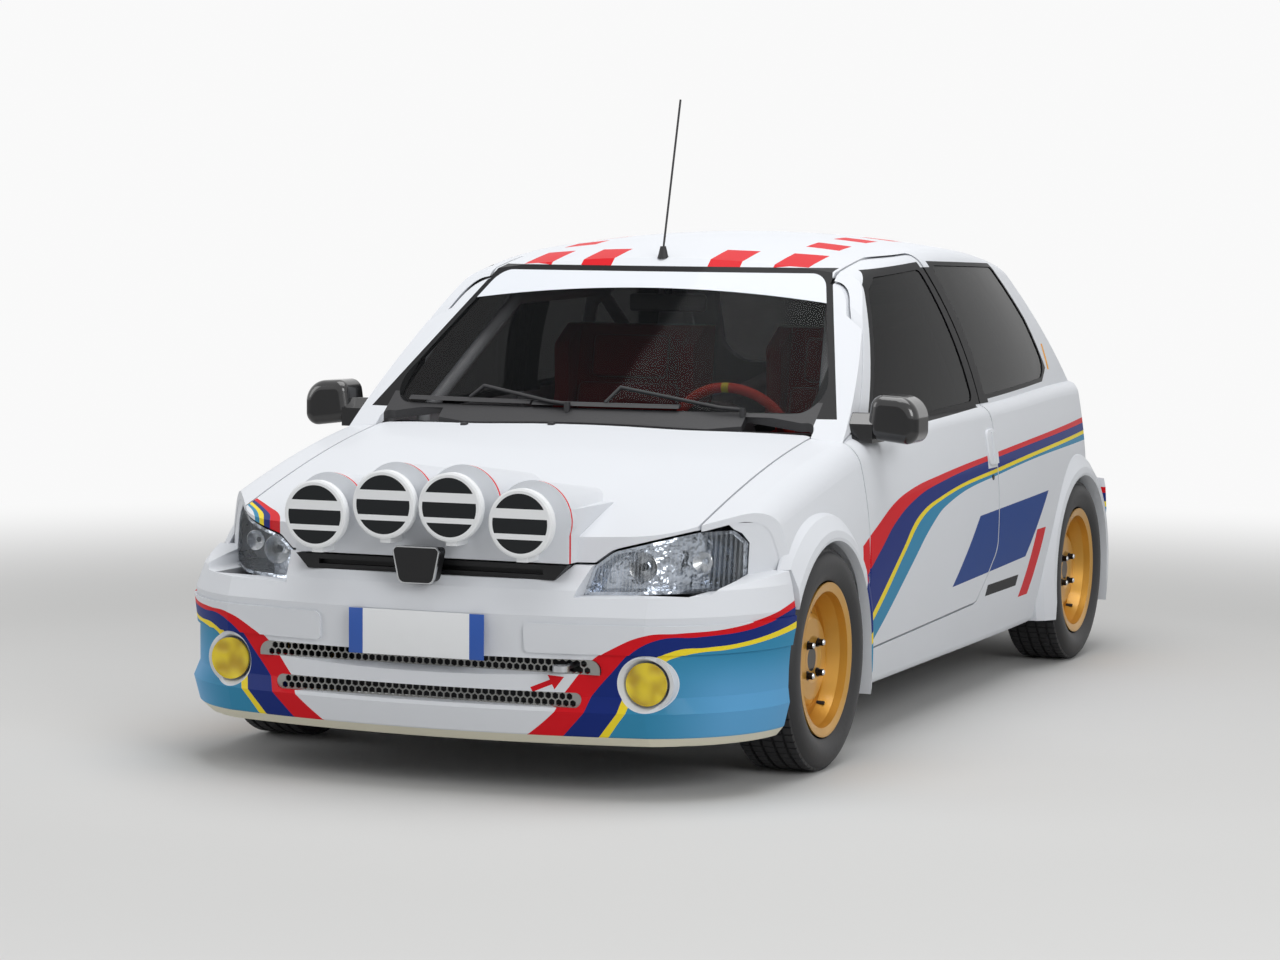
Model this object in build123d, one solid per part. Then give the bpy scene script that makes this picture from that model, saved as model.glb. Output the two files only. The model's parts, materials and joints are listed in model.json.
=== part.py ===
from build123d import *
import math
import os
from collections import namedtuple

# A small three-door rally car. X is its left, -Y its front and Z up, all in millimetres.
# The origin lies on the floor, in the middle of the car's length and width.

# Main sizes
wheelbase = 2385.0
axle_front_y = -1123.0
axle_rear_y = axle_front_y + wheelbase
track = 1420.0
tyre_radius = 280.0
nose_y = -1828.0
tail_y = 1800.0
under_z = 150.0

# Walls and gaps
door_wall = 66.0
pillar_wall = 50.0
frame_wall = 26.0
roof_wall = 34.0
frame_top = 12.0
floor_wall = 50.0
skin_wall = 14.0
bonnet_wall = 26.0
glass_wall = 6.0
glass_recess = 3.0
shut_gap = 6.0
seat_gap = 0.3

# Hinge lines and joints
door_front_y = -809.0
door_hinge_x = 783.0
door_hinge_y = -785.0
door_edge_radius = 24.0
door_inner_radius = 50.0
bonnet_hinge_y = -787.0
bonnet_hinge_z = 806.0
swing_radius = 56.0
tailgate_hinge_y = 1148.0
tailgate_hinge_z = 1272.0
tailgate_edge_radius = 13.0
kingpin_x = 650.0

# Wheel housings
arch_radius = 300.0
housing_radius = 312.0
lip_x = 745.0
flare_radius = 378.0
flare_x = 810.0

far = 3000.0


def wire_of(*parts):
    """One wire from lines and arcs that meet end to end."""
    edges = []
    for part in parts:
        edges += part.edges()
    return Wire(edges)


def outline(points, axis, at, rounding=None):
    """A flat face on a plane square to an axis, with a rounding radius for each corner number named."""
    place = {
        "x": lambda u, v: Vector(at, u, v),
        "y": lambda u, v: Vector(u, at, v),
        "z": lambda u, v: Vector(u, v, at),
    }
    corners = [place[axis](u, v) for u, v in points]
    face = Face(Wire.make_polygon(corners, close=True))
    for number, radius in (rounding or {}).items():
        near = [v for v in face.vertices() if (Vector(v.X, v.Y, v.Z) - corners[number]).length < 0.5]
        face = face.fillet_2d(radius, near)
    return face


def prism(points, axis, start, end, rounding=None):
    """An outline drawn square to an axis and pushed along it from start to end."""
    direction = {"x": Vector(1, 0, 0), "y": Vector(0, 1, 0), "z": Vector(0, 0, 1)}[axis]
    return Solid.extrude(outline(points, axis, start, rounding), direction * (end - start))


def block(x0, x1, y0, y1, z0, z1):
    return Solid.make_box(x1 - x0, y1 - y0, z1 - z0, Plane(origin=(x0, y0, z0)))


def rod(start, end, radius):
    """A round bar from one point to another."""
    start, end = Vector(*start), Vector(*end)
    return Solid.make_cylinder(radius, (end - start).length, Plane(origin=start, z_dir=end - start))


def moved(shape, x=0.0, y=0.0, z=0.0):
    return shape.moved(Location((x, y, z)))


def mirrored(shape):
    return shape.mirror(Plane.YZ)


def both(shape):
    return [shape, mirrored(shape)]


def fused(first, *others):
    whole = first
    for other in others:
        whole = whole + other
    return whole


def turned(points, centre):
    """A solid of revolution about a line along X through centre, from points of (along, radius)."""
    corners = [Vector(centre[0] + along, centre[1], centre[2] + radius) for along, radius in points]
    face = Face(Wire.make_polygon(corners, close=True))
    return Solid.revolve(face, 360, Axis(centre, (1, 0, 0)))


# The lower body, one row for each section across the car.
Lower = namedtuple("Lower", "y under_z under_x side_x side_z shoulder_x shoulder_z crown_z shoulder_r")
lower_sections = [
    Lower(-1900, 150, 690, 745, 450, 720, 540, 560, 60),
    Lower(-1600, 150, 720, 768, 450, 730, 625, 668, 70),
    Lower(-1300, 150, 735, 785, 470, 742, 705, 752, 80),
    Lower(-1000, 150, 742, 795, 480, 752, 770, 815, 80),
    Lower(-700, 150, 745, 800, 490, 758, 812, 858, 70),
    Lower(0, 150, 748, 803, 500, 765, 840, 900, 45),
    Lower(700, 150, 748, 800, 505, 762, 850, 910, 45),
    Lower(1300, 160, 733, 785, 510, 735, 858, 915, 45),
    Lower(1900, 200, 680, 725, 520, 672, 860, 915, 45),
]

# The greenhouse, one row for each section across the car.
Upper = namedtuple("Upper", "y base_x mid_x mid_z corner_x corner_z crown_z corner_r")
upper_base_z = 780.0
upper_sections = [
    Upper(-1100, 700, 650, 930, 572, 1040, 1085, 60),
    Upper(-330, 742, 690, 1010, 590, 1215, 1262, 80),
    Upper(200, 752, 700, 1040, 590, 1285, 1337, 80),
    Upper(800, 742, 686, 1040, 578, 1275, 1326, 80),
    Upper(1250, 715, 655, 1020, 552, 1222, 1270, 80),
    Upper(1800, 668, 612, 960, 522, 1100, 1145, 70),
]
under_round = 30.0

# Windscreen and tail planes: the y of their middle at a height, bow at bow_x, and lean back over rise
screen_y, screen_z, screen_lean, screen_bow = -928.0, 780.0, 1.299, 140.0
hatch_y, hatch_z, hatch_lean, hatch_bow = 1790.0, 760.0, 1.2, 230.0
bow_x = 900.0
lean_rise = 700.0


def closed_section(base, side, corner, crown_z, y, corner_r, base_r=0.0):
    """A face across the car at y: flat base, bowed sides, crowned top, rounded corners."""
    def at(x, z):
        return Vector(x, y, z)
    ring = wire_of(
        Line(at(-base[0], base[1]), at(base[0], base[1])),
        ThreePointArc(at(*base), at(*side), at(*corner)),
        ThreePointArc(at(*corner), at(0, crown_z), at(-corner[0], corner[1])),
        ThreePointArc(at(-corner[0], corner[1]), at(-side[0], side[1]), at(-base[0], base[1])),
    )
    face = Face(ring)
    halfway = (base[1] + corner[1]) / 2
    face = face.fillet_2d(corner_r, [v for v in face.vertices() if v.Z > halfway])
    if base_r:
        face = face.fillet_2d(base_r, [v for v in face.vertices() if v.Z < base[1] + 1])
    return face


def lower_loft(wall=0.0, top=0.0, floor=0.0):
    """The lower body's outer form, or its form inside a wall, a top and a floor."""
    faces = []
    for s in lower_sections:
        base = (s.under_x - wall, s.under_z + floor)
        side = (s.side_x - wall, s.side_z)
        corner = (s.shoulder_x - wall, s.shoulder_z - top)
        faces.append(closed_section(base, side, corner, s.crown_z - top, s.y, s.shoulder_r, under_round))
    return loft(faces)


def upper_loft(wall=0.0, top=0.0, drop=0.0):
    """The greenhouse's outer form, or its form inside its wall and roof, begun lower by drop."""
    faces = []
    for s in upper_sections:
        base = (s.base_x - wall, upper_base_z)
        side = (s.mid_x - wall, s.mid_z - top)
        corner = (s.corner_x - wall, s.corner_z - top)
        faces.append(closed_section(base, side, corner, s.crown_z - top, s.y, s.corner_r))
    return loft(faces)


def behind_screen(inset=0.0):
    """The space behind the windscreen's bowed and leaning surface."""
    y = screen_y + inset
    bow = ThreePointArc(Vector(-bow_x, y + screen_bow, screen_z), Vector(0, y, screen_z),
        Vector(bow_x, y + screen_bow, screen_z))
    rest = Polyline(Vector(bow_x, y + screen_bow, screen_z), Vector(bow_x, far, screen_z),
                    Vector(-bow_x, far, screen_z), Vector(-bow_x, y + screen_bow, screen_z))
    return Solid.extrude(Face(wire_of(bow, rest)), Vector(0, screen_lean * lean_rise, lean_rise))


def ahead_of_hatch(inset=0.0):
    """The space in front of the tailgate glass's bowed and leaning surface."""
    y = hatch_y - inset
    bow = ThreePointArc(Vector(-bow_x, y - hatch_bow, hatch_z), Vector(0, y, hatch_z),
        Vector(bow_x, y - hatch_bow, hatch_z))
    rest = Polyline(Vector(bow_x, y - hatch_bow, hatch_z), Vector(bow_x, -far, hatch_z),
                    Vector(-bow_x, -far, hatch_z), Vector(-bow_x, y - hatch_bow, hatch_z))
    return Solid.extrude(Face(wire_of(bow, rest)), Vector(0, -hatch_lean * lean_rise, lean_rise))


def plan_trim(front_y, knee_x, knee_y, side_y, radius, lean, end_y):
    """What lies behind a bowed end drawn in plan, with rounded corners, leaning with height."""
    base_z, rise, wide = 100.0, 1000.0, 860.0
    def at(x, y):
        return Vector(x, y, base_z)
    ring = wire_of(
        ThreePointArc(at(-knee_x, knee_y), at(0, front_y), at(knee_x, knee_y)),
        Line(at(knee_x, knee_y), at(wide, side_y)),
        Polyline(at(wide, side_y), at(wide, end_y), at(-wide, end_y), at(-wide, side_y)),
        Line(at(-wide, side_y), at(-knee_x, knee_y)),
    )
    face = Face(ring)
    face = face.fillet_2d(radius, [v for v in face.vertices() if abs(v.Y - knee_y) < 1])
    return Solid.extrude(face, Vector(0, lean * rise, rise))


def make_lower():
    nose = plan_trim(nose_y, 560, -1735, -1300, 230, 0.15, far)
    tail = plan_trim(tail_y, 600, 1720, 1300, 180, -0.06, -far)
    return lower_loft() & nose & tail


def make_cabin():
    return upper_loft() & behind_screen() & ahead_of_hatch()


def arch_flares():
    """Swollen lips round the left wheel openings."""
    rings = []
    for axle_y, front, rear in ((axle_front_y, -1600, door_front_y - shut_gap), (axle_rear_y, 850, 1700)):
        lip = [(700, arch_radius - 20), (flare_x - 6, arch_radius - 20), (flare_x, arch_radius + 8),
            (flare_x - 3, arch_radius + 26),
               (flare_x - 26, flare_radius - 16), (flare_x - 48, flare_radius), (700, flare_radius)]
        ring = turned(lip, (0, axle_y, tyre_radius))
        rings.append(ring & block(690, 900, front, rear, under_z + 5, 700))
    return rings


def wheel_housings():
    """The room for the left wheels, wider round the inner part, where the front ones steer."""
    rooms = []
    for axle_y, inner_x in ((axle_front_y, 430.0), (axle_rear_y, 590.0)):
        through = rod((inner_x, axle_y, tyre_radius), (900, axle_y, tyre_radius), arch_radius)
        inner = rod((inner_x, axle_y, tyre_radius), (lip_x, axle_y, tyre_radius), housing_radius)
        below = block(inner_x, 900, axle_y - arch_radius, axle_y + arch_radius, 0, tyre_radius)
        inner_below = block(inner_x, lip_x, axle_y - housing_radius, axle_y + housing_radius, 0, tyre_radius)
        rooms.append(through + inner + below + inner_below)
    return rooms


lower = make_lower()
cabin = make_cabin()
left_housings = wheel_housings()
housings = left_housings + [mirrored(h) for h in left_housings]
outer = fused(lower, cabin)
for flare in arch_flares():
    outer = outer + flare + mirrored(flare)


def cut(shape, *tools):
    for tool in tools:
        shape = shape - tool
    return shape


# The cabin's void, the raised boot floor, the tunnel and the room under the boot
boot_z = 430.0
boot_wall = 40.0
raised_y = 860.0
bulkhead_y = -735.0
bulkhead_wall = 40.0
tunnel_x, tunnel_z, tunnel_wall = 90.0, 225.0, 25.0
void_low = lower_loft(door_wall, 0, floor_wall) & moved(lower, y=-55)
void_low = void_low & block(-800, 800, bulkhead_y + bulkhead_wall, 1900, 0, upper_base_z)
void_low = cut(void_low, block(-800, 800, raised_y, 1900, 0, boot_z),
               block(-tunnel_x - tunnel_wall, tunnel_x + tunnel_wall, -900, raised_y, 0,
               tunnel_z + tunnel_wall))
void_high = upper_loft(pillar_wall, roof_wall) & behind_screen(30) & ahead_of_hatch(50)
void_high = void_high - block(-900, 900, -1000, bulkhead_y + bulkhead_wall, 700, 812)
rear_room = rod((556, axle_rear_y, tyre_radius), (900, axle_rear_y, tyre_radius), housing_radius + 14)
void = cut(fused(void_low, void_high), rear_room, mirrored(rear_room))
under_boot = block(-590, 590, raised_y + 25, 1900, 0, boot_z - boot_wall)
tunnel = block(-tunnel_x, tunnel_x, -900, raised_y + 30, 0, tunnel_z)
shell = cut(outer, void, under_boot, tunnel, *housings)

# Outlines where the real panels meet
door_points = [(door_front_y, 262), (190, 290), (343, 430), (343, 800), (164, 1280), (-215, 1260),
    (-322, 1219), (-690, 838), (door_front_y, 800)]
door_round = {0: 12, 1: 60, 2: 60, 4: 30, 5: 60, 7: 30, 8: 30}
door_bay_points = [(door_front_y, 262), (190, 290), (344, 430), (344, 800), (172, 1280), (-215, 1260),
    (-322, 1219), (-690, 838), (door_front_y, 800)]
window_points = [(-600, 838), (262, 862), (140, 1240), (-215, 1222), (-300, 1186)]
window_round = {0: 20, 1: 20, 2: 30, 3: 40, 4: 40}
quarter_points = [(384, 872), (1110, 892), (1190, 925), (1105, 1070), (940, 1236), (250, 1250)]
quarter_round = {0: 25, 1: 60, 2: 40, 3: 30, 4: 50, 5: 30}
screen_points = [(-655, 872), (655, 872), (488, 1232), (-488, 1232)]
screen_round = {0: 60, 1: 60, 2: 60, 3: 60}
hatch_points = [(-516, 554), (516, 554), (516, 790), (586, 830), (462, 1400), (-462, 1400), (-586, 830),
    (-516, 790)]
hatch_glass_points = [(-505, 900), (505, 900), (415, 1206), (-415, 1206)]
hatch_glass_round = {0: 70, 1: 70, 2: 60, 3: 60}
bonnet_points = [(-612, -1900), (612, -1900), (626, -781), (300, -880), (-300, -880), (-626, -781)]
bonnet_bay_points = [(-612, -1900), (612, -1900), (626, -775), (300, -862), (-300, -862), (-626, -775)]
bonnet_round = {2: 20, 5: 20, 3: 500, 4: 500}
lamp_points = [(384, 484), (404, 552), (450, 588), (615, 630), (675, 632), (700, 600), (702, 515), (680, 489)]
lamp_round = {1: 20, 2: 60, 3: 40, 4: 16, 5: 16, 6: 16, 7: 16}
roof_points = [(-500, -420), (500, -420), (512, 300), (500, 1130), (-500, 1130), (-512, 300)]


def grown(points, by):
    """The same outline with every side moved outwards by a distance."""
    count = len(points)
    nexts = points[1:] + points[:1]
    area = sum(one[0] * two[1] - two[0] * one[1] for one, two in zip(points, nexts))
    outward = 1 if area > 0 else -1
    lines = []
    for i in range(count):
        (u0, v0), (u1, v1) = points[i], points[(i + 1) % count]
        length = math.hypot(u1 - u0, v1 - v0)
        nu, nv = outward * (v1 - v0) / length, -outward * (u1 - u0) / length
        lines.append((nu, nv, nu * u0 + nv * v0 + by))
    result = []
    for i in range(count):
        (a, b, c), (d, e, f) = lines[i - 1], lines[i]
        det = a * e - b * d
        result.append(((c * e - b * f) / det, (a * f - c * d) / det))
    return result


door_region = prism(door_points, "x", 520, 900, door_round)
door_opening = prism(grown(door_bay_points, shut_gap), "x", 512, 900, door_round)
window_region = prism(window_points, "x", 480, 900, window_round)
quarter_region = prism(quarter_points, "x", 480, 900, quarter_round)
hatch_start = tailgate_hinge_y - tailgate_edge_radius + 1
hatch_region = prism(hatch_points, "y", hatch_start, 2000)
hatch_opening = prism(grown(hatch_points, shut_gap), "y", hatch_start - shut_gap, 2000)
hatch_glass_region = prism(hatch_glass_points, "y", 1100, 2000, hatch_glass_round)
bonnet_base_z = 562.0
bumper_top_z = 556.0
bonnet_region = prism(bonnet_points, "z", bonnet_base_z, 1000, bonnet_round)
bonnet_opening = prism(grown(bonnet_bay_points, shut_gap), "z", bumper_top_z, 1000, bonnet_round)
screen_region = prism(screen_points, "y", -1000, -200, screen_round)
lamp_region = prism(lamp_points, "y", -1900, -1400, lamp_round)
lamp_opening = prism(grown(lamp_points, 3), "y", -1900, -1400, lamp_round)
lamp_bonnet_opening = prism(grown(lamp_points, shut_gap), "y", -1900, -1400, lamp_round)
roof_region = prism(roof_points, "z", 1150, 1500)
floor_region = fused(block(-610, 610, bulkhead_y, 1900, 0, 470), block(-610, 610, 1500, 1900, 469, 548),
                     block(-610, 610, bulkhead_y, bulkhead_y + bulkhead_wall, 0, 770))
scuttle_region = block(-626, 626, -940, bulkhead_y, 735, 900) + block(-626, 626, bulkhead_y,
    bulkhead_y + bulkhead_wall, 770, 900)
bumper_side_top = [(-2000, 488), (-1760, 488), (-1400, 531), (-700, 531), (-700, 0), (-2000, 0)]
under_wing = prism(bumper_side_top, "x", -900, 900) & block(-900, 900, -2000, -1380, 0, 900)


def plan_levels(levels, knee_x, end_y, facing):
    """A bumper's outer form: plan outlines at several heights, joined by straight rulings."""
    faces = []
    for level in levels:
        def at(x, y):
            return Vector(x, y * facing, level.z)
        faces.append(Face(wire_of(
            ThreePointArc(at(-knee_x, level.knee_y), at(0, level.middle_y), at(knee_x, level.knee_y)),
            ThreePointArc(at(knee_x, level.knee_y), at(level.corner_x, level.corner_y),
            at(level.end_x, end_y)),
            Line(at(level.end_x, end_y), at(-level.end_x, end_y)),
            ThreePointArc(at(-level.end_x, end_y), at(-level.corner_x, level.corner_y),
            at(-knee_x, level.knee_y)),
        )))
    return loft(faces, ruled=True)


# Bumper outlines: y is measured towards the bumper's own end of the car
Level = namedtuple("Level", "z middle_y knee_y corner_x corner_y end_x")
front_levels = [
    Level(130, 1795, 1725, 722, 1572, 768), Level(155, 1820, 1748, 742, 1588, 786),
    Level(213, 1838, 1766, 752, 1600, 800),
    Level(250, 1824, 1752, 738, 1592, 800), Level(350, 1830, 1757, 738, 1592, 803),
    Level(441, 1840, 1766, 744, 1600, 806),
    Level(500, 1815, 1738, 728, 1582, 798), Level(556, 1760, 1683, 690, 1542, 790),
]
rear_levels = [
    Level(235, 1800, 1750, 712, 1650, 770), Level(300, 1835, 1782, 735, 1668, 788),
    Level(450, 1850, 1797, 742, 1676, 800),
    Level(520, 1846, 1792, 738, 1672, 796), Level(548, 1825, 1772, 722, 1656, 790),
]
bumper_wall = 34.0
front_end_y = 1380.0
rear_end_y = 1578.0


def hollow_form(row, wall, end_y, low, high):
    """The space inside a bumper, from one row of its outline, straight-sided from low to high."""
    inside = []
    for z in (low, high):
        inside.append(Level(z, row.middle_y - wall - 16, row.knee_y - wall - 14, row.corner_x - wall,
            row.corner_y - wall, row.end_x - wall))
    return inside


pad_start_x, pad_low_z, pad_high_z, pad_rise = 272.0, 352.0, 423.0, 7.0


def pad_level(row):
    """One row of the rubbing pads' outline, proud of the bumper's."""
    return Level(row.z, row.middle_y + pad_rise, row.knee_y + pad_rise, row.corner_x + 5, row.corner_y + 5,
        row.end_x + 4)


fog_x, fog_z, fog_radius = 560.0, 283.0, 52.0
mesh_front_y, mesh_back_y = -1790.0, -1786.0
cell_pitch, strand = 18.4, 3.2

# Bumper slots: half width, heights of their lower and upper edge, and of the ledge at the mesh
Slot = namedtuple("Slot", "half low high ledge_z")
upper_slot = Slot(455, 284, 338, 303)
lower_slot = Slot(408, 222, 258, 222)
slot_grille_points = [(-330, 522), (330, 522), (363, 558), (-363, 558)]


def slot_room(slot):
    """The room that a bumper slot takes up, over a ledge that slopes down to the front."""
    points = [(-slot.half, slot.low), (slot.half, slot.low), (slot.half, slot.high), (-slot.half, slot.high)]
    radius = (slot.high - slot.low) / 2 - 1
    room = prism(points, "y", -2000, -1700, {n: radius for n in range(4)})
    if slot.ledge_z > slot.low:
        slope = [(-1850, slot.low - 1), (mesh_front_y - 4, slot.ledge_z), (-1690, slot.ledge_z),
            (-1690, slot.low - 1)]
        room = room - prism(slope, "x", -slot.half - 1, slot.half + 1)
    return room


def hex_mesh(slot):
    """A plate across a slot with two staggered rows of hexagonal holes."""
    plate = slot_room(slot) & block(-900, 900, mesh_front_y, mesh_back_y, 0, 900)
    hole_radius = (cell_pitch - strand) / math.sqrt(3)
    row_rise = cell_pitch * math.sqrt(3) / 2
    middle_z = (slot.ledge_z + slot.high) / 2
    count = int((slot.half - 20) / cell_pitch)
    holes = []
    for row in (0, 1):
        centre_z = middle_z + (row - 0.5) * row_rise
        for column in range(-count, count + 1 - row):
            centre_x = (column + row / 2) * cell_pitch
            corners = []
            for turn in range(6):
                angle = math.radians(30 + 60 * turn)
                corners.append((centre_x + hole_radius * math.cos(angle),
                    centre_z + hole_radius * math.sin(angle)))
            holes.append(prism(corners, "y", mesh_front_y - 1, mesh_back_y + 1))
    return cut(plate, Compound(holes))


def make_front_bumper():
    """Front bumper with its slots, lamp seats and fog lamp tubes."""
    form = plan_levels(front_levels, 560, front_end_y, -1)
    pads = plan_levels([pad_level(row) for row in front_levels[4:6]], 560, front_end_y, -1)
    pad_points = [(pad_start_x, pad_low_z), (900, pad_low_z), (900, pad_high_z), (pad_start_x, pad_high_z)]
    pad_band = prism(pad_points, "y", -2000, -1400, {0: 14, 3: 14})
    form = form + (pads & pad_band) + (pads & mirrored(pad_band))
    inside = plan_levels(hollow_form(front_levels[5], bumper_wall, front_end_y, 100, 468), 545,
        front_end_y - 60, -1)
    above = (block(410, 900, -2000, -1300, 0, 900) + block(-900, -410, -2000, -1300, 0, 900)) - under_wing
    bumper = cut(form, inside, above, block(-900, 900, -1400, -1000, 0, 900),
        block(-640, 640, -1690, -1300, 100, 600), *housings)
    for x in (-459, 459):
        bumper = bumper + block(x - 14, x + 14, -1760, -1620, 380, 440)
    bumper = cut(bumper, lamp_region, mirrored(lamp_region))
    for slot in (upper_slot, lower_slot):
        bumper = bumper - slot_room(slot)
    bumper = bumper - prism(slot_grille_points, "y", -2000, -1500)
    tube = rod((fog_x, -1745, fog_z), (fog_x, -1685, fog_z), fog_radius + 14)
    bumper = bumper + tube + mirrored(tube)
    bore = rod((fog_x, -1900, fog_z), (fog_x, -1600, fog_z), fog_radius)
    dish = Solid.make_cone(fog_radius + 26, fog_radius, 60, Plane(origin=(fog_x, -1795, fog_z),
        z_dir=(0, 1, 0)))
    bumper = cut(bumper, bore, dish, mirrored(bore), mirrored(dish))
    return bumper


def make_rear_bumper():
    form = plan_levels(rear_levels, 560, rear_end_y, 1)
    inside = plan_levels(hollow_form(rear_levels[0], bumper_wall, rear_end_y, 200, 525), 545,
        rear_end_y - 60, 1)
    return form - inside


front_bumper = make_front_bumper()
rear_bumper = make_rear_bumper()


def tail_lamp():
    """Left tail lamp, wrapped round the rear corner between bumper and waist."""
    region = block(528, 800, 1560, 1900, rear_levels[-1].z + 6, 772)
    return (lower & region) - moved(lower, x=-22, y=-48)


def hinge_leaf(z):
    """The pillar's half of one door hinge: an eye round the pin and a cranked leaf."""
    half = 25.0
    eye = rod((door_hinge_x, door_hinge_y, z - half), (door_hinge_x, door_hinge_y, z + half), 6.5)
    inward = block(735, door_hinge_x, door_hinge_y - 3, door_hinge_y + 3, z - half, z + half)
    forward = block(735, 741, door_front_y - shut_gap, door_hinge_y + 3, z - half, z + half)
    return fused(eye, inward, forward) - rod((door_hinge_x, door_hinge_y, z - 60),
        (door_hinge_x, door_hinge_y, z + 60), 4.3)


door_hinge_heights = (400.0, 580.0)
jack_points_y = (-560.0, 790.0)
jack_x, jack_face_z = 676.0, 142.0


def make_side_frame():
    """Left sill, pillars, roof rail and quarter panel, with the hinge pillar under the wing."""
    side = shell & block(0, 900, door_front_y - shut_gap, 1900, 0, 1500)
    ahead = block(0, 610, -1900, bulkhead_y, 0, 770)
    side = cut(side, floor_region, roof_region, scuttle_region, screen_region, hatch_opening, quarter_region,
        ahead)
    low_pillar = lower_loft(door_wall + shut_gap, 20, 0) & block(0, 900, -900, -690, 0, 790)
    high_pillars = upper_loft(frame_wall + shut_gap, frame_top + shut_gap) - prism(grown(door_bay_points,
        -30), "x", 470, 910)
    side = side - cut(door_opening, low_pillar, high_pillars)
    post = lower_loft(skin_wall, skin_wall, 0) & block(610, 900, -900, door_front_y - shut_gap, under_z, 735)
    liner_room = rod((400, axle_front_y, tyre_radius), (900, axle_front_y, tyre_radius), housing_radius + 6)
    side = cut(side + cut(post, liner_room, left_housings[0]), bonnet_opening, rear_bumper, tail_lamp())
    side = side - rod((600, bonnet_hinge_y, bonnet_hinge_z), (650, bonnet_hinge_y, bonnet_hinge_z), 3.8)
    for z in door_hinge_heights:
        side = side + hinge_leaf(z)
    for y in jack_points_y:
        side = side + block(jack_x - 24, jack_x + 24, y - 30, y + 30, jack_face_z, under_z + 6)
    return side


def make_door():
    """Left door with its window frame, its front edge rounded about the hinge."""
    frame_inside = upper_loft(frame_wall, frame_top)
    low = (lower & door_region) - (lower_loft(door_wall, 0, 0) & block(0, 900, -1900, 1900, 0, upper_base_z))
    low = low - frame_inside
    high = (cabin & door_region) - frame_inside
    door = low + (high - window_region)
    outer_edge = block(door_hinge_x, 900, door_front_y - 50, door_hinge_y, 0, 1400)
    outer_round = rod((door_hinge_x, door_hinge_y, 0), (door_hinge_x, door_hinge_y, 1400), door_edge_radius)
    inner_edge = block(640, door_hinge_x, door_front_y - 50, door_hinge_y, 0, 790)
    inner_round = rod((door_hinge_x, door_hinge_y, 0), (door_hinge_x, door_hinge_y, 790), door_inner_radius)
    door = cut(door, outer_edge - outer_round, inner_edge - inner_round, window_region)
    for z in door_hinge_heights:
        pocket = block(640, 788, door_front_y - 10, door_hinge_y + 7, z - 32, z + 32)
        pocket = pocket + rod((door_hinge_x, door_hinge_y, z - 32), (door_hinge_x, door_hinge_y, z + 32), 8.5)
        door = (door - pocket) + rod((door_hinge_x, door_hinge_y, z - 40),
            (door_hinge_x, door_hinge_y, z + 40), 4)
    handle = moved(lower, x=10) & block(770, 900, 296, 332, 680, 772)
    return door + (handle - moved(lower, x=-4))


def side_glass(region, recess):
    """Glass that follows the side's curve within an outline."""
    return (moved(cabin, x=-recess) & region) - moved(cabin, x=-recess - glass_wall)


def make_fixed_glass():
    windscreen = (cabin & screen_region) - moved(cabin, y=3.8, z=-4.8)
    quarter = side_glass(quarter_region, glass_recess)
    return windscreen, quarter, mirrored(quarter)


def make_tailgate():
    ahead = block(-900, 900, tailgate_hinge_y - 60, tailgate_hinge_y, tailgate_hinge_z, 1400)
    round_edge = rod((-900, tailgate_hinge_y, tailgate_hinge_z), (900, tailgate_hinge_y, tailgate_hinge_z),
        tailgate_edge_radius)
    gate = (shell & hatch_region) - (ahead - round_edge) - hatch_glass_region - floor_region
    for x in (-150.0, 150.0):
        pocket = block(x - 14, x + 14, tailgate_hinge_y - 16, tailgate_hinge_y + 9, tailgate_hinge_z - 14,
            tailgate_hinge_z + 30)
        pin = rod((x - 16, tailgate_hinge_y, tailgate_hinge_z), (x + 16, tailgate_hinge_y, tailgate_hinge_z),
            3)
        gate = (gate - pocket) + pin
    return gate - rear_bumper


def make_rear_glass():
    region = hatch_glass_region & block(-900, 900, 1100, 2000, 800, 1400)
    return (cabin & region) - moved(cabin, y=-4.6, z=-3.8)


def make_roof():
    roof = (shell & roof_region) - screen_region - hatch_opening
    for x in (-150.0, 150.0):
        eye = rod((x - 10, tailgate_hinge_y, tailgate_hinge_z), (x + 10, tailgate_hinge_y, tailgate_hinge_z),
            6)
        leaf = block(x - 10, x + 10, hatch_start - shut_gap - 6, tailgate_hinge_y, tailgate_hinge_z - 5,
            tailgate_hinge_z + 4)
        roof = (roof + eye + leaf) - rod((x - 12, tailgate_hinge_y, tailgate_hinge_z),
            (x + 12, tailgate_hinge_y, tailgate_hinge_z), 3.3)
    return roof


def make_scuttle():
    """The panel under the windscreen, hollowed where the bonnet's rear corners swing up."""
    swing = rod((440, bonnet_hinge_y, bonnet_hinge_z), (600, bonnet_hinge_y, bonnet_hinge_z), swing_radius)
    swing = swing & block(400, 650, -900, bonnet_hinge_y + 9, bonnet_hinge_z - 3, 900)
    return cut(shell & scuttle_region, bonnet_opening, screen_region, swing, mirrored(swing))


def make_wing():
    """Left front wing, a skin down to the bumper, with its share of the arch flare."""
    front = block(0, 900, -1900, door_front_y - shut_gap, under_z - 10, 1000)
    inside = lower_loft(skin_wall, skin_wall, 0)
    wing = ((lower & front) - inside) + (arch_flares()[0] - inside)
    wing = cut(wing, bonnet_opening, lamp_opening, under_wing, left_housings[0],
        block(0, 560, -1900, 0, 0, 1000))
    centre = (0, axle_front_y, tyre_radius)
    liner = rod((467, *centre[1:]), (800, *centre[1:]), housing_radius + 5) - rod((400, *centre[1:]),
        (900, *centre[1:]), housing_radius)
    liner = (liner & inside) & block(467, 900, -1900, door_front_y - shut_gap, 280, 1000)
    strut_hole = rod((565, axle_front_y, 400), (565, axle_front_y, 700), 30)
    wing = wing + cut(liner, strut_hole, under_wing, lamp_opening)
    return wing


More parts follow.
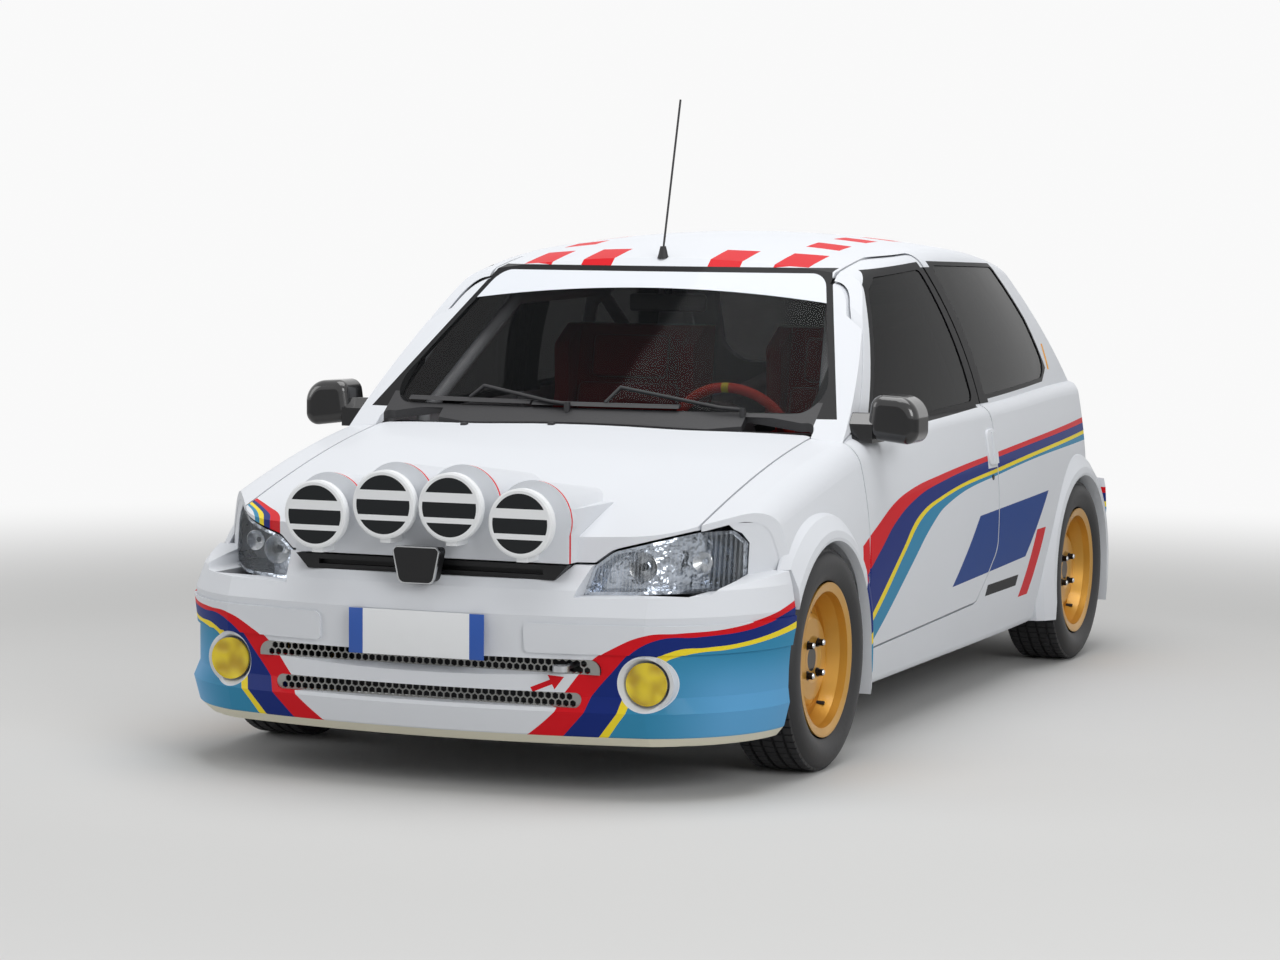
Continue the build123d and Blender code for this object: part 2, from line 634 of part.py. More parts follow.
def make_bonnet():
    bonnet = (lower & bonnet_region) - moved(lower, y=bonnet_wall, z=-bonnet_wall)
    bonnet = cut(bonnet, lamp_bonnet_opening, mirrored(lamp_bonnet_opening))
    pin = rod((600, bonnet_hinge_y, bonnet_hinge_z), (642, bonnet_hinge_y, bonnet_hinge_z), 3.5)
    return bonnet + pin + mirrored(pin)


# Rally lamps: middle and height of each, radius of the cover
Spot = namedtuple("Spot", "x z")
spots = [Spot(-273, 661), Spot(-88, 692), Spot(88, 692), Spot(273, 661)]
spot_radius = 83.0
pod_face_y = -1772.0
hump_radius = 98.0


def make_pod():
    """The lamp pod on the bonnet: four humps that run back into it, over one shallow box."""
    pod = block(-365, 365, pod_face_y, -1500, bonnet_base_z, 690)
    for spot in spots:
        hump = Solid.make_cone(hump_radius, 62, 360, Plane(origin=(spot.x, pod_face_y, spot.z),
            z_dir=(0, 1, -0.02)))
        pod = pod + hump
    pod = pod & block(-400, 400, pod_face_y, -1380, bonnet_base_z, 1000)
    return pod - lower


def make_spots():
    """Four round lamps with closed covers, each on a short foot."""
    lamps = []
    for spot in spots:
        def disc(r0, r1, y0, y1):
            return Solid.make_cone(r0, r1, y1 - y0, Plane(origin=(spot.x, y0, spot.z), z_dir=(0, 1, 0)))
        lamp = disc(spot_radius - 5, spot_radius, -1850, -1846) + rod((spot.x, -1846, spot.z),
            (spot.x, -1826, spot.z), spot_radius)
        lamp = lamp + disc(spot_radius - 3, 52, -1826, -1785) + rod((spot.x, -1790, spot.z),
            (spot.x, pod_face_y, spot.z), 40)
        foot = block(spot.x - 14, spot.x + 14, -1836, pod_face_y, spot.z - spot_radius - 10,
            spot.z - spot_radius + 8)
        lamps.append(lamp + foot)
    return lamps


def make_headlamp():
    """Left headlamp: a hollow bowl and a lens that follows the nose."""
    lens_back = moved(lower, x=-2, y=5)
    lens = (lower & lamp_region) - lens_back
    bowl = (lens_back & lamp_region) - moved(lower, x=-46, y=110)
    inner = prism(grown(lamp_points, -8), "y", -1900, -1400, {2: 50, 3: 40, 4: 8, 5: 8, 6: 8, 7: 8})
    bowl = bowl - ((lens_back & inner) - moved(lower, x=-36, y=92))
    return lens, bowl


def make_fog():
    bowl = rod((fog_x, -1750, fog_z), (fog_x, -1690, fog_z), fog_radius) - rod((fog_x, -1752, fog_z),
        (fog_x, -1700, fog_z), fog_radius - 4)
    lens = rod((fog_x, -1756, fog_z), (fog_x, -1750, fog_z), fog_radius)
    return lens, bowl


def make_grilles():
    """Two meshes in the bumper, the slot grille above it and its blank plaque."""
    eye_room = block(tow_x - 32, tow_x + 32, mesh_front_y - 5, mesh_back_y + 5, tow_z - 12, tow_z + 12)
    pieces = [hex_mesh(upper_slot) - eye_room, hex_mesh(lower_slot)]
    bars = prism(slot_grille_points, "y", -1775, -1745) - block(-300, 300, -1800, -1755, 534, 546)
    plaque = prism([(-61, 592), (61, 592), (43, 508), (-43, 508)], "y", -1850, -1808,
        {0: 10, 1: 10, 2: 16, 3: 16})
    stem = block(-20, 20, -1812, -1775, 528, 550)
    pieces.append(bars + plaque + stem)
    return pieces


# Wheels: outlines as (along the axle from the wheel's middle plane, radius)
barrel_points = [(-80, 195), (-75, 195), (-72, 179.7), (-57, 179.7), (-50, 175), (-22, 165), (18, 165),
    (50, 175), (57, 179.7), (72, 179.7),
                 (75, 195), (80, 195), (80, 190), (76, 172), (56, 169), (20, 158), (-22, 158), (-56, 169),
                 (-76, 172), (-80, 190)]
disc_points = [(2, 160), (10, 160), (12, 128), (34, 114), (41, 102), (44, 60), (40, 44), (40, 0), (33, 0),
    (33, 40), (34, 96), (26, 106), (4, 122)]
hub_points = [(-26, 20.3), (-26, 120), (-16, 120), (-16, 42), (34, 42), (34, 20.3)]
tyre_points = [(62, 180), (72, 180), (72.8, 196), (86, 206), (92.5, 236), (89, 257), (80, 270), (62, 279),
    (0, 280), (-62, 279), (-80, 270),
               (-89, 257), (-92.5, 236), (-86, 206), (-72.8, 196), (-72, 180), (-62, 180), (-64, 200),
               (-80, 236), (-74, 262), (0, 270),
               (74, 262), (80, 236), (64, 200)]


def make_rim(axle_y):
    centre = (track / 2, axle_y, tyre_radius)
    return fused(turned(barrel_points, centre), turned(disc_points, centre), turned(hub_points, centre))


def make_tyre(axle_y):
    return turned(tyre_points, (track / 2, axle_y, tyre_radius))


spindle_radius = 20.0
spindle_end = track / 2 + 31


def make_knuckle():
    """Left steering knuckle between its two pins, with the spindle and the brake caliper."""
    body = block(632, 668, axle_front_y - 22, axle_front_y + 22, 200.3, 411.7)
    pin = rod((kingpin_x, axle_front_y, 176), (kingpin_x, axle_front_y, 436), 9.7)
    spindle = rod((660, axle_front_y, tyre_radius), (spindle_end, axle_front_y, tyre_radius), spindle_radius)
    arm = block(650, 674, axle_front_y + 10, axle_front_y + 130, 262, 298)
    caliper = block(670, 706, axle_front_y + 82, axle_front_y + 132, 240, 320)
    caliper = caliper - rod((681, axle_front_y, tyre_radius), (697, axle_front_y, tyre_radius), 123)
    return fused(body, pin, spindle, arm, caliper)


def span(side, x0, x1, y0, y1, z0, z1):
    """A block on one side of the car, x measured outwards."""
    low, high = sorted((side * x0, side * x1))
    return block(low, high, y0, y1, z0, z1)


def make_subframe():
    """Front cross member, lower arms, struts and their upper eyes."""
    y = axle_front_y
    whole = block(-330, 330, y - 45, y + 45, 165, 215)
    for side in (1, -1):
        pin_x, strut_x = side * kingpin_x, side * 565
        lower_arm = span(side, 300, 640, y - 28, y + 28, 176, 200) + rod((pin_x, y, 176), (pin_x, y, 200), 24)
        upper_arm = span(side, 565, 640, y - 20, y + 20, 412, 436) + rod((pin_x, y, 412), (pin_x, y, 436), 22)
        strut = rod((strut_x, y, 200), (strut_x, y, 600), 22)
        post = span(side, 446, 472, y - 25, y + 25, 200, 260)
        bore = rod((pin_x, y, 150), (pin_x, y, 450), 10)
        whole = whole + (fused(lower_arm, upper_arm, strut, post) - bore)
    return whole


rail_end_y = -1620.0

# The towing eye: place, outer and bore radius, half its thickness
tow_x, tow_y, tow_z = 373.0, -1829.0, 320.0
tow_radius, tow_bore, tow_half = 21.0, 14.0, 7.0


def tow_eye():
    """A flat eye on a round shank that seats on the front rail's end."""
    ring = rod((tow_x, tow_y, tow_z - tow_half), (tow_x, tow_y, tow_z + tow_half), tow_radius)
    shank = rod((tow_x, tow_y + tow_radius - 4, tow_z), (tow_x, rail_end_y, tow_z), tow_half - 0.5)
    return (ring + shank) - rod((tow_x, tow_y, tow_z - 20), (tow_x, tow_y, tow_z + 20), tow_bore)


def make_floor_pan():
    """Floor, tunnel, bulkhead and boot floor, with the front rails, inner wings and strut towers."""
    floor = cut(shell & floor_region, rear_bumper, bonnet_opening)
    y = axle_front_y
    for side in (1, -1):
        floor = fused(
            floor,
            span(side, 452, 466, rail_end_y, bulkhead_y + 5, 260, 480),
            span(side, 452, 466, -1480, bulkhead_y + 5, 470, 560),
            span(side, 452, 466, -1380, bulkhead_y + 5, 550, 655),
            span(side, 452, 606, y - 85, y + 85, 600, 640),
            span(side, 452, 466, rail_end_y, -1600, 200, 280),
            span(side, 366, 466, rail_end_y, -1600, 455, 480),
            span(side, 366, 380, rail_end_y, -1600, 200, 555),
        )
    cross_members = block(-466, 466, rail_end_y, -1600, 200, 240) + block(-380, 380, rail_end_y, -1600, 530,
        555)
    return floor + cross_members


def make_engine():
    engine = block(-260, 330, -1500, -1010, 230, 610)
    return fused(engine, rod((330, -1250, 480), (452, -1250, 480), 22),
        rod((-260, -1250, 480), (-452, -1250, 480), 22))


def make_radiator():
    return block(-290, 290, -1598, -1565, 242, 518) + block(-300, 300, -1600, -1560, 225, 250)


def tube_line(points, radius, bead=0.0):
    """Straight round tubes from point to point, with a ball at each turn, prouder than them by the bead."""
    whole = rod(points[0], points[1], radius)
    for start, end in zip(points[1:], points[2:]):
        whole = whole + Solid.make_sphere(radius + bead, Plane(origin=start)) + rod(start, end, radius)
    return whole


weld_bead = 2.0


def make_exhaust():
    pipe = tube_line([(0, -1009.7, 256), (0, -960, 256), (0, -860, 185), (0, 930, 185), (-200, 1130, 185),
        (-330, 1440, 210)], 22, weld_bead)
    silencer = rod((-330, 1430, 230), (-330, 1660, 230), 70)
    tail = tube_line([(-330, 1650, 215), (-330, 1760, 200), (-330, 1835, 200)], 24, weld_bead)
    hangers = block(-338, -322, 1500, 1530, 290, boot_z - boot_wall) + block(-8, 8, 400, 430, 200, tunnel_z)
    return fused(pipe, silencer, tail, hangers)


def make_rear_axle():
    beam = rod((-575, 960, 270), (575, 960, 270), 38)
    for side in (1, -1):
        beam = beam + span(side, 535, 580, 950, axle_rear_y + 60, 240, 300) + span(side, 420, 470, 935, 985,
            270, boot_z - boot_wall)
        beam = beam + rod((side * 560, axle_rear_y, tyre_radius),
            (side * spindle_end, axle_rear_y, tyre_radius), spindle_radius)
        beam = beam + rod((side * 558, axle_rear_y + 30, 280),
            (side * 558, axle_rear_y + 30, boot_z - boot_wall), 20)
    return beam


def make_tank():
    return block(-400, 400, 1030, 1400, 240, boot_z - boot_wall)


cage_front = [(490, 455, 1160), (480, -215, 1150), (590, -600, 830), (606, -640, 560), (598, -650, 240),
    (598, -650, 200.3)]


def make_dashboard():
    """Dashboard, its instrument hood in front of the driver."""
    back_y = bulkhead_y + bulkhead_wall
    board = prism([(back_y, 560), (-560, 560), (-515, 640), (-515, 730), (-560, 790), (-640, 815),
        (back_y, 815)], "x", -640, 640, {4: 40, 5: 40})
    hood = rod((steer_x, -660, 790), (steer_x, -572, 790), 100) & block(100, 600, -660, -500, 760, 1000)
    board = (board + hood) & void
    legs = tube_line(cage_front[1:], cage_radius + seat_gap)
    return cut(board, legs, mirrored(legs), rod(along_column(-180), along_column(-40),
        column_radius + seat_gap))


cage_radius = 19.0
column_radius = 26.0
steer_x, steer_y, steer_z = 290.0, -470.0, 772.0
steer_axis = (0.0, math.cos(math.radians(25)), math.sin(math.radians(25)))


def along_column(distance):
    return (steer_x, steer_y + steer_axis[1] * distance, steer_z + steer_axis[2] * distance)


def make_steering_wheel():
    ring = Solid.make_torus(168, 14, Plane(origin=along_column(0), z_dir=steer_axis))
    hub = rod(along_column(-34), along_column(-12), 52)
    wheel = ring + hub + rod(along_column(-110), along_column(-30), 11)
    for angle in (90, 210, 330):
        base = Plane(origin=along_column(-20), x_dir=(1, 0, 0), z_dir=steer_axis)
        spoke = Solid.make_box(160, 36, 8, Plane(origin=(0, 0, 0)))
        spoke = spoke.moved(Location((0, -18, 0))).moved(Location((0, 0, 0), (0, 0, angle)))
        wheel = wheel + base.location * spoke
    return wheel


def make_controls():
    """Steering column, pedals, gear lever and handbrake."""
    column = rod(along_column(-170), along_column(-50), column_radius) - rod(along_column(-130),
        along_column(-40), 11.3)
    lever = tube_line([(0, -210, 260), (10, -190, 480)], 8) + Solid.make_sphere(24,
        Plane(origin=(10, -190, 490)))
    gaiter = Solid.make_cone(55, 16, 90, Plane(origin=(0, -210, 250.3)))
    brake = rod((20, 60, 262), (20, -120, 420), 13) + block(-5, 45, 20, 110, 250.3, 300)
    pedals = []
    for x in (205, 290, 375):
        pad, foot = block(x - 14, x + 14, -694.7, -676, 500, 545), block(x - 26, x + 26, -622, -606, 290, 360)
        pedals.append(fused(rod((x, -682, 520), (x, -612, 330), 8), pad, foot))
    return [column, lever + gaiter, brake] + pedals


def make_seat(x):
    """A racing seat: cushion, tall back and side bolsters on a low frame."""
    half = 225.0
    shell_points = [(-190, 330), (-190, 410), (200, 370), (345, 1060), (425, 1060), (330, 300), (-150, 300)]
    seat = prism(shell_points, "x", x - half, x + half, {2: 60, 3: 20, 4: 20, 5: 60})
    bolster_points = [(-200, 330), (-200, 450), (60, 470), (150, 540), (245, 860), (240, 1000), (345, 1060),
        (425, 1060), (330, 300), (-150, 300)]
    for start, end in ((x - half, x - half + 45), (x + half - 45, x + half)):
        seat = seat + prism(bolster_points, "x", start, end, {1: 20, 2: 40, 3: 60, 4: 40, 5: 30, 6: 20})
    base = block(x - 180, x - 150, -140, 260, 200.3, 305) + block(x + 150, x + 180, -140, 260, 200.3, 305)
    return seat + base


def make_cage():
    """Roll cage: main hoop with its diagonal, its stays, and the legs along the screen pillars."""
    half_hoop = [(0, 455, 1205), (440, 455, 1205), (535, 455, 1120), (604, 455, 700), (585, 455, 240),
        (585, 455, 200.3)]
    stay = [(500, 455, 1150), (470, 1120, 700), (470, 1200, 460), (470, 1200, boot_z + seat_gap)]
    whole = tube_line([(-594, 455, 600), (520, 455, 1130)], cage_radius)
    for points in (half_hoop, stay, cage_front):
        line = tube_line(points, cage_radius)
        whole = whole + line + mirrored(line)
    return whole


def make_mirror():
    """Left door mirror on its foot at the front of the window."""
    front_view = [(752, 812), (895, 795), (895, 921), (768, 928)]
    body = prism(front_view, "y", -742, -640, {0: 32, 1: 34, 2: 60, 3: 34})
    body = fillet([edge for edge in body.edges() if edge.center().Y < -741], 26)
    foot = prism([(-742, 800), (-640, 800), (-640, 850), (-700, 880), (-742, 850)], "x", 690, 775,
        {2: 10, 3: 12})
    return cut(body + foot, moved(lower, x=0.2), moved(cabin, x=0.2))


# Wipers: the pivot's x and y, then x and height on the glass of the arm's knuckle and elbow,
# then the blade's two ends and its height
Wiper = namedtuple("Wiper", "pivot_x pivot_y knuckle_x knuckle_z elbow_x elbow_z inner_x outer_x blade_z")
wiper_rows = [Wiper(430, -784, 366, 874, 76, 912, 255, -168, 884),
    Wiper(-60, -815, -116, 878, -330, 906, -175, -560, 886)]
blade_half, blade_depth, arm_radius, arm_lift = 5.0, 14.0, 5.0, 14.0


def on_screen(x, z, lift):
    """A point over the windscreen at x and height z, lifted square off the glass."""
    radius = (bow_x ** 2 + screen_bow ** 2) / (2 * screen_bow)
    y = screen_y + radius - math.sqrt(radius ** 2 - x ** 2) + screen_lean * (z - screen_z)
    slope = math.hypot(1, screen_lean)
    return x, y - lift / slope, z + lift * screen_lean / slope


def make_wipers():
    """Two wipers: a pivot through the scuttle, a cranked arm and a blade that follows the glass."""
    wipers = []
    for row in wiper_rows:
        knuckle = on_screen(row.knuckle_x, row.knuckle_z, arm_lift)
        elbow = on_screen(row.elbow_x, row.elbow_z, arm_lift + 8)
        blade_x = (row.inner_x + row.outer_x) / 2
        pivot = rod((row.pivot_x, row.pivot_y, 845), (row.pivot_x, row.pivot_y, knuckle[2]), 9)
        arm = tube_line([(row.pivot_x, row.pivot_y, knuckle[2] - 5), knuckle, elbow,
                         on_screen(blade_x, row.blade_z, arm_lift - 7)], arm_radius)
        blade = behind_screen(-blade_depth) - behind_screen(-0.5)
        blade = blade & block(row.outer_x, row.inner_x, -1000, -500, row.blade_z - blade_half,
            row.blade_z + blade_half)
        wipers.append(cut(fused(pivot, blade, arm), moved(lower, z=seat_gap), moved(cabin, z=seat_gap)))
    return wipers


def make_aerial():
    base = Solid.make_cone(16, 8, 34, Plane(origin=(0, -287, 1268)))
    return (base + rod((0, -287, 1290), (0, -165, 1714), 3)) - moved(cabin, z=seat_gap)


nodes = {}


def keep_node(name, *solids):
    """Writes one sub-part's file and remembers it."""
    flat = []
    for solid in solids:
        flat += solid.solids()
    shape = flat[0] if len(flat) == 1 else Compound(flat)
    shape.label = name
    export_step(shape, os.path.join("parts", name + ".step"))
    nodes[name] = shape


def keep_pair(name, left):
    keep_node(name + "_left", left)
    keep_node(name + "_right", mirrored(left))


os.makedirs("parts", exist_ok=True)
keep_pair("side_frame", make_side_frame())
keep_node("floor_pan", make_floor_pan())
keep_node("tow_eye", tow_eye())
keep_node("roof_panel", make_roof())
keep_node("scuttle_panel", make_scuttle())
keep_node("front_wings", *both(make_wing()))
keep_node("front_bumper", front_bumper)
keep_node("rear_bumper", rear_bumper)
keep_node("grilles", *make_grilles())
lens, bowl = make_headlamp()
fog_lens, fog_bowl = make_fog()
keep_node("front_lamp_bowls", *both(bowl), *both(fog_bowl))
keep_node("front_lamp_lenses", *both(lens), *both(fog_lens))
keep_node("fixed_glass", *make_fixed_glass())
keep_node("wipers", *make_wipers())
keep_node("aerial", make_aerial())
keep_node("tail_lamps", *both(tail_lamp()))
keep_node("dashboard", make_dashboard())
keep_node("seats", make_seat(340), make_seat(-340))
keep_node("roll_cage", make_cage())
keep_node("cabin_controls", *make_controls())
keep_node("engine_block", make_engine())
keep_node("radiator", make_radiator())
keep_node("front_subframe", make_subframe())
keep_node("rear_axle", make_rear_axle())
keep_node("exhaust", make_exhaust())
keep_node("fuel_tank", make_tank())
keep_node("bonnet", make_bonnet())
keep_node("lamp_pod", make_pod())
keep_node("rally_lamps", *make_spots())
keep_pair("door", make_door())
keep_pair("door_glass", side_glass(window_region, glass_recess))
keep_pair("mirror", make_mirror())
keep_node("tailgate", make_tailgate())
keep_node("rear_glass", make_rear_glass())
keep_node("steering_wheel", make_steering_wheel())
keep_pair("knuckle", make_knuckle())
for end, axle_y in (("front", axle_front_y), ("rear", axle_rear_y)):
    keep_pair("rim_" + end, make_rim(axle_y))
    keep_pair("tyre_" + end, make_tyre(axle_y))
for name, shape in nodes.items():
    print(name, [(round(solid.volume / 1e6, 2), solid.is_valid) for solid in shape.solids()])
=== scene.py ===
# %% [markdown]
# This lesson dresses a small rally car for its picture. The CAD part brings every panel, lamp and
# wheel as a named node on a body that can move, so nothing here changes the shape of the car: it
# gets paint, glass and rubber, and the small pieces that a builder screws on at the very end.

import json
import math

import bmesh
import bpy
from mathutils import Matrix, Vector


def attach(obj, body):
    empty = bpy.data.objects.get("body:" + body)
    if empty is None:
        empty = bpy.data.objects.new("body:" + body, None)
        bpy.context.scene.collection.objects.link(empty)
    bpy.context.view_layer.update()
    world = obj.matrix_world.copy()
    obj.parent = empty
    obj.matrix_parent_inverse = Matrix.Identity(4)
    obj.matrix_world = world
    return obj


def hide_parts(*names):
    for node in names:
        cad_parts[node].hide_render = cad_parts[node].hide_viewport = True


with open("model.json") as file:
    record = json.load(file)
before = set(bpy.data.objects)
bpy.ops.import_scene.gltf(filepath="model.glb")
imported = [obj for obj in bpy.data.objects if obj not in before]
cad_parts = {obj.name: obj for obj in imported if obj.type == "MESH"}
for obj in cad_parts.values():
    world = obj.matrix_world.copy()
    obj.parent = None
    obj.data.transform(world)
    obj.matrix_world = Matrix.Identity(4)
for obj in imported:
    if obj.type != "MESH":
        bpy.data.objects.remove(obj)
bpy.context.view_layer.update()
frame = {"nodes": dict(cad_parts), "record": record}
nodes = frame["nodes"]

# %% [markdown]
# Colours are easiest to pick as the 0 to 255 numbers that a picture editor shows, but a shader
# works with linear light. One short function turns the first into the second, so that a colour
# written here comes out as that colour in the render.

# %% Colours as they are written


def shade(red, green, blue):
    """A linear colour from three picture values."""
    parts = []
    for value in (red, green, blue):
        share = value / 255
        parts.append(share / 12.92 if share < 0.04045 else ((share + 0.055) / 1.055) ** 2.4)
    return (*parts, 1.0)


white = shade(219, 222, 227)
black = shade(20, 20, 22)
stripe_red = shade(208, 20, 32)
stripe_navy = shade(20, 42, 116)
stripe_yellow = shade(238, 214, 50)
stripe_teal = shade(52, 134, 172)
stripe_colours = (stripe_red, stripe_navy, stripe_yellow, stripe_teal)
print("white paint is", [round(part, 3) for part in white])

# %% [markdown]
# Most finishes differ only in colour, roughness and how metallic they are. Each starts from one
# Principled shader with its numbers set on its own sockets, and sums of masks are built from Math
# nodes by one helper, because a mask is only a number that is 0 or 1 from place to place.

# %% Helpers for shaders


def finish(name, colour, roughness=0.5, metallic=0.0, **sockets):
    """A material with one Principled shader; further sockets are given by name."""
    material = bpy.data.materials.new(name)
    material.use_nodes = True
    shader = material.node_tree.nodes["Principled BSDF"]
    shader.inputs["Base Color"].default_value = colour
    shader.inputs["Roughness"].default_value = roughness
    shader.inputs["Metallic"].default_value = metallic
    for socket, value in sockets.items():
        shader.inputs[socket.replace("_", " ")].default_value = value
    return material


def fill(tree, socket, value):
    """Gives a socket a number, a colour or another node's output."""
    if isinstance(value, (int, float, tuple)):
        socket.default_value = value
    else:
        tree.links.new(value, socket)


def work(tree, operation, *values):
    """One Math node on numbers or outputs."""
    node = tree.nodes.new("ShaderNodeMath")
    node.operation = operation
    for socket, value in zip(node.inputs, values):
        fill(tree, socket, value)
    return node.outputs[0]


def every(tree, *masks):
    """1 only where every one of the masks is 1."""
    result = masks[0]
    for mask in masks[1:]:
        result = work(tree, "MULTIPLY", result, mask)
    return result


def over(tree, under, colour, where):
    """The colour laid over what is under it wherever the mask is 1."""
    node = tree.nodes.new("ShaderNodeMix")
    node.data_type = "RGBA"
    for socket, value in zip((node.inputs[0], node.inputs[6], node.inputs[7]), (where, under, colour)):
        fill(tree, socket, value)
    return node.outputs[2]


def place(tree):
    """The three Object coordinates, in metres in the car's own frame."""
    source = tree.nodes.new("ShaderNodeTexCoord")
    apart = tree.nodes.new("ShaderNodeSeparateXYZ")
    tree.links.new(source.outputs["Object"], apart.inputs[0])
    return apart.outputs[0], apart.outputs[1], apart.outputs[2]


def uneven(material, colour, size, strength, depth=0.0):
    """A faint noise in the colour, size metres wide, and bumps depth metres high."""
    tree = material.node_tree
    shader = tree.nodes["Principled BSDF"]
    source = tree.nodes.new("ShaderNodeTexCoord")
    noise = tree.nodes.new("ShaderNodeTexNoise")
    noise.inputs["Scale"].default_value = 1 / size
    tree.links.new(source.outputs["Object"], noise.inputs["Vector"])
    darker = tree.nodes.new("ShaderNodeHueSaturation")
    darker.inputs["Value"].default_value = 1 - strength
    fill(tree, darker.inputs["Color"], colour)
    mixed = over(tree, colour, darker.outputs[0], noise.outputs["Fac"])
    tree.links.new(mixed, shader.inputs["Base Color"])
    if depth:
        bump = tree.nodes.new("ShaderNodeBump")
        bump.inputs["Distance"].default_value = depth
        tree.links.new(noise.outputs["Fac"], bump.inputs["Height"])
        tree.links.new(bump.outputs["Normal"], shader.inputs["Normal"])
    return material


print("shader helpers ready")

# %% [markdown]
# The paint lines run along the side as four bands under each other. Each edge between two bands is
# one curve that gives its height for every place along the car, drawn with a Float Curve node from
# a few measured points. Starting from white and laying each colour below its own edge, and white
# again below the last, paints all the bands, on whichever panel they happen to cross.

# %% Edges of bands as curves


def edge(tree, along, points):
    """The height of an edge, for a place along it, through the given (along, height) points."""
    start, end = points[0][0], points[-1][0]
    share = work(tree, "DIVIDE", work(tree, "SUBTRACT", along, start), end - start)
    node = tree.nodes.new("ShaderNodeFloatCurve")
    curve = node.mapping.curves[0]
    curve.points[0].location = (0.0, points[0][1])
    curve.points[1].location = (1.0, points[-1][1])
    for reach, height in points[1:-1]:
        curve.points.new((reach - start) / (end - start), height)
    node.mapping.update()
    tree.links.new(share, node.inputs["Value"])
    return node.outputs["Value"]


def bands(tree, along, height, edges, colours, ground, last):
    """The colours between the edges, from the top edge down, on the ground colour."""
    painted = ground
    for points, colour in zip(edges, (*colours, last)):
        below = work(tree, "LESS_THAN", height, edge(tree, along, points))
        painted = over(tree, painted, colour, below)
    return painted


side_edges = (
    ((-0.885, 0.536), (-0.74, 0.590), (-0.60, 0.636), (-0.46, 0.661), (-0.2, 0.682),
     (0.4, 0.712), (1.33, 0.749)),
    ((-0.885, 0.435), (-0.72, 0.526), (-0.60, 0.586), (-0.41, 0.637), (-0.2, 0.662),
     (0.4, 0.697), (1.33, 0.733)),
    ((-0.885, 0.262), (-0.72, 0.392), (-0.55, 0.507), (-0.41, 0.585), (-0.2, 0.624),
     (0.4, 0.667), (1.33, 0.709)),
    ((-0.885, 0.235), (-0.68, 0.392), (-0.52, 0.504), (-0.38, 0.578), (-0.2, 0.614),
     (0.4, 0.656), (1.33, 0.698)),
    ((-0.885, 0.160), (-0.66, 0.330), (-0.45, 0.470), (-0.29, 0.555), (-0.17, 0.594),
     (0.4, 0.648), (1.33, 0.681)),
)
print(len(side_edges), "edges along the side")

# %% [markdown]
# Paint on a car is a colour under a clear coat, so the shader's coat gives the sharp reflections
# and the colour below stays soft. The side panels carry the bands from the front wheel to the
# back, a blue panel behind the door, a black strip on the door's foot and a red flash in front of
# the rear wheel, each as a mask between leaning lines.

# %% Paint for the sides


def clear_coat(name):
    """An empty gloss paint that still needs its colour."""
    return finish(name, white, 0.5, Coat_Weight=0.09, Coat_Roughness=0.04, Specular_IOR_Level=0.08)


def between(tree, low, value, high):
    """1 where the value lies between low and high."""
    return every(tree, work(tree, "GREATER_THAN", value, low), work(tree, "LESS_THAN", value, high))


door_window = ((-0.600, 0.838), (0.262, 0.862), (0.140, 1.240), (-0.215, 1.222), (-0.300, 1.186))
quarter_window = ((0.384, 0.872), (1.110, 0.892), (1.190, 0.925), (1.105, 1.070), (0.940, 1.236),
                  (0.250, 1.250))


def inside(tree, along, height, corners, margin):
    """1 inside a convex outline, given anticlockwise, grown by the margin on every side."""
    masks = []
    for start, end in zip(corners, (*corners[1:], corners[0])):
        side = Vector(end) - Vector(start)
        side.normalize()
        reach = work(tree, "MULTIPLY_ADD", along, side.y, work(tree, "MULTIPLY", height, -side.x))
        masks.append(work(tree, "LESS_THAN", reach, side.y * start[0] - side.x * start[1] + margin))
    return every(tree, *masks)


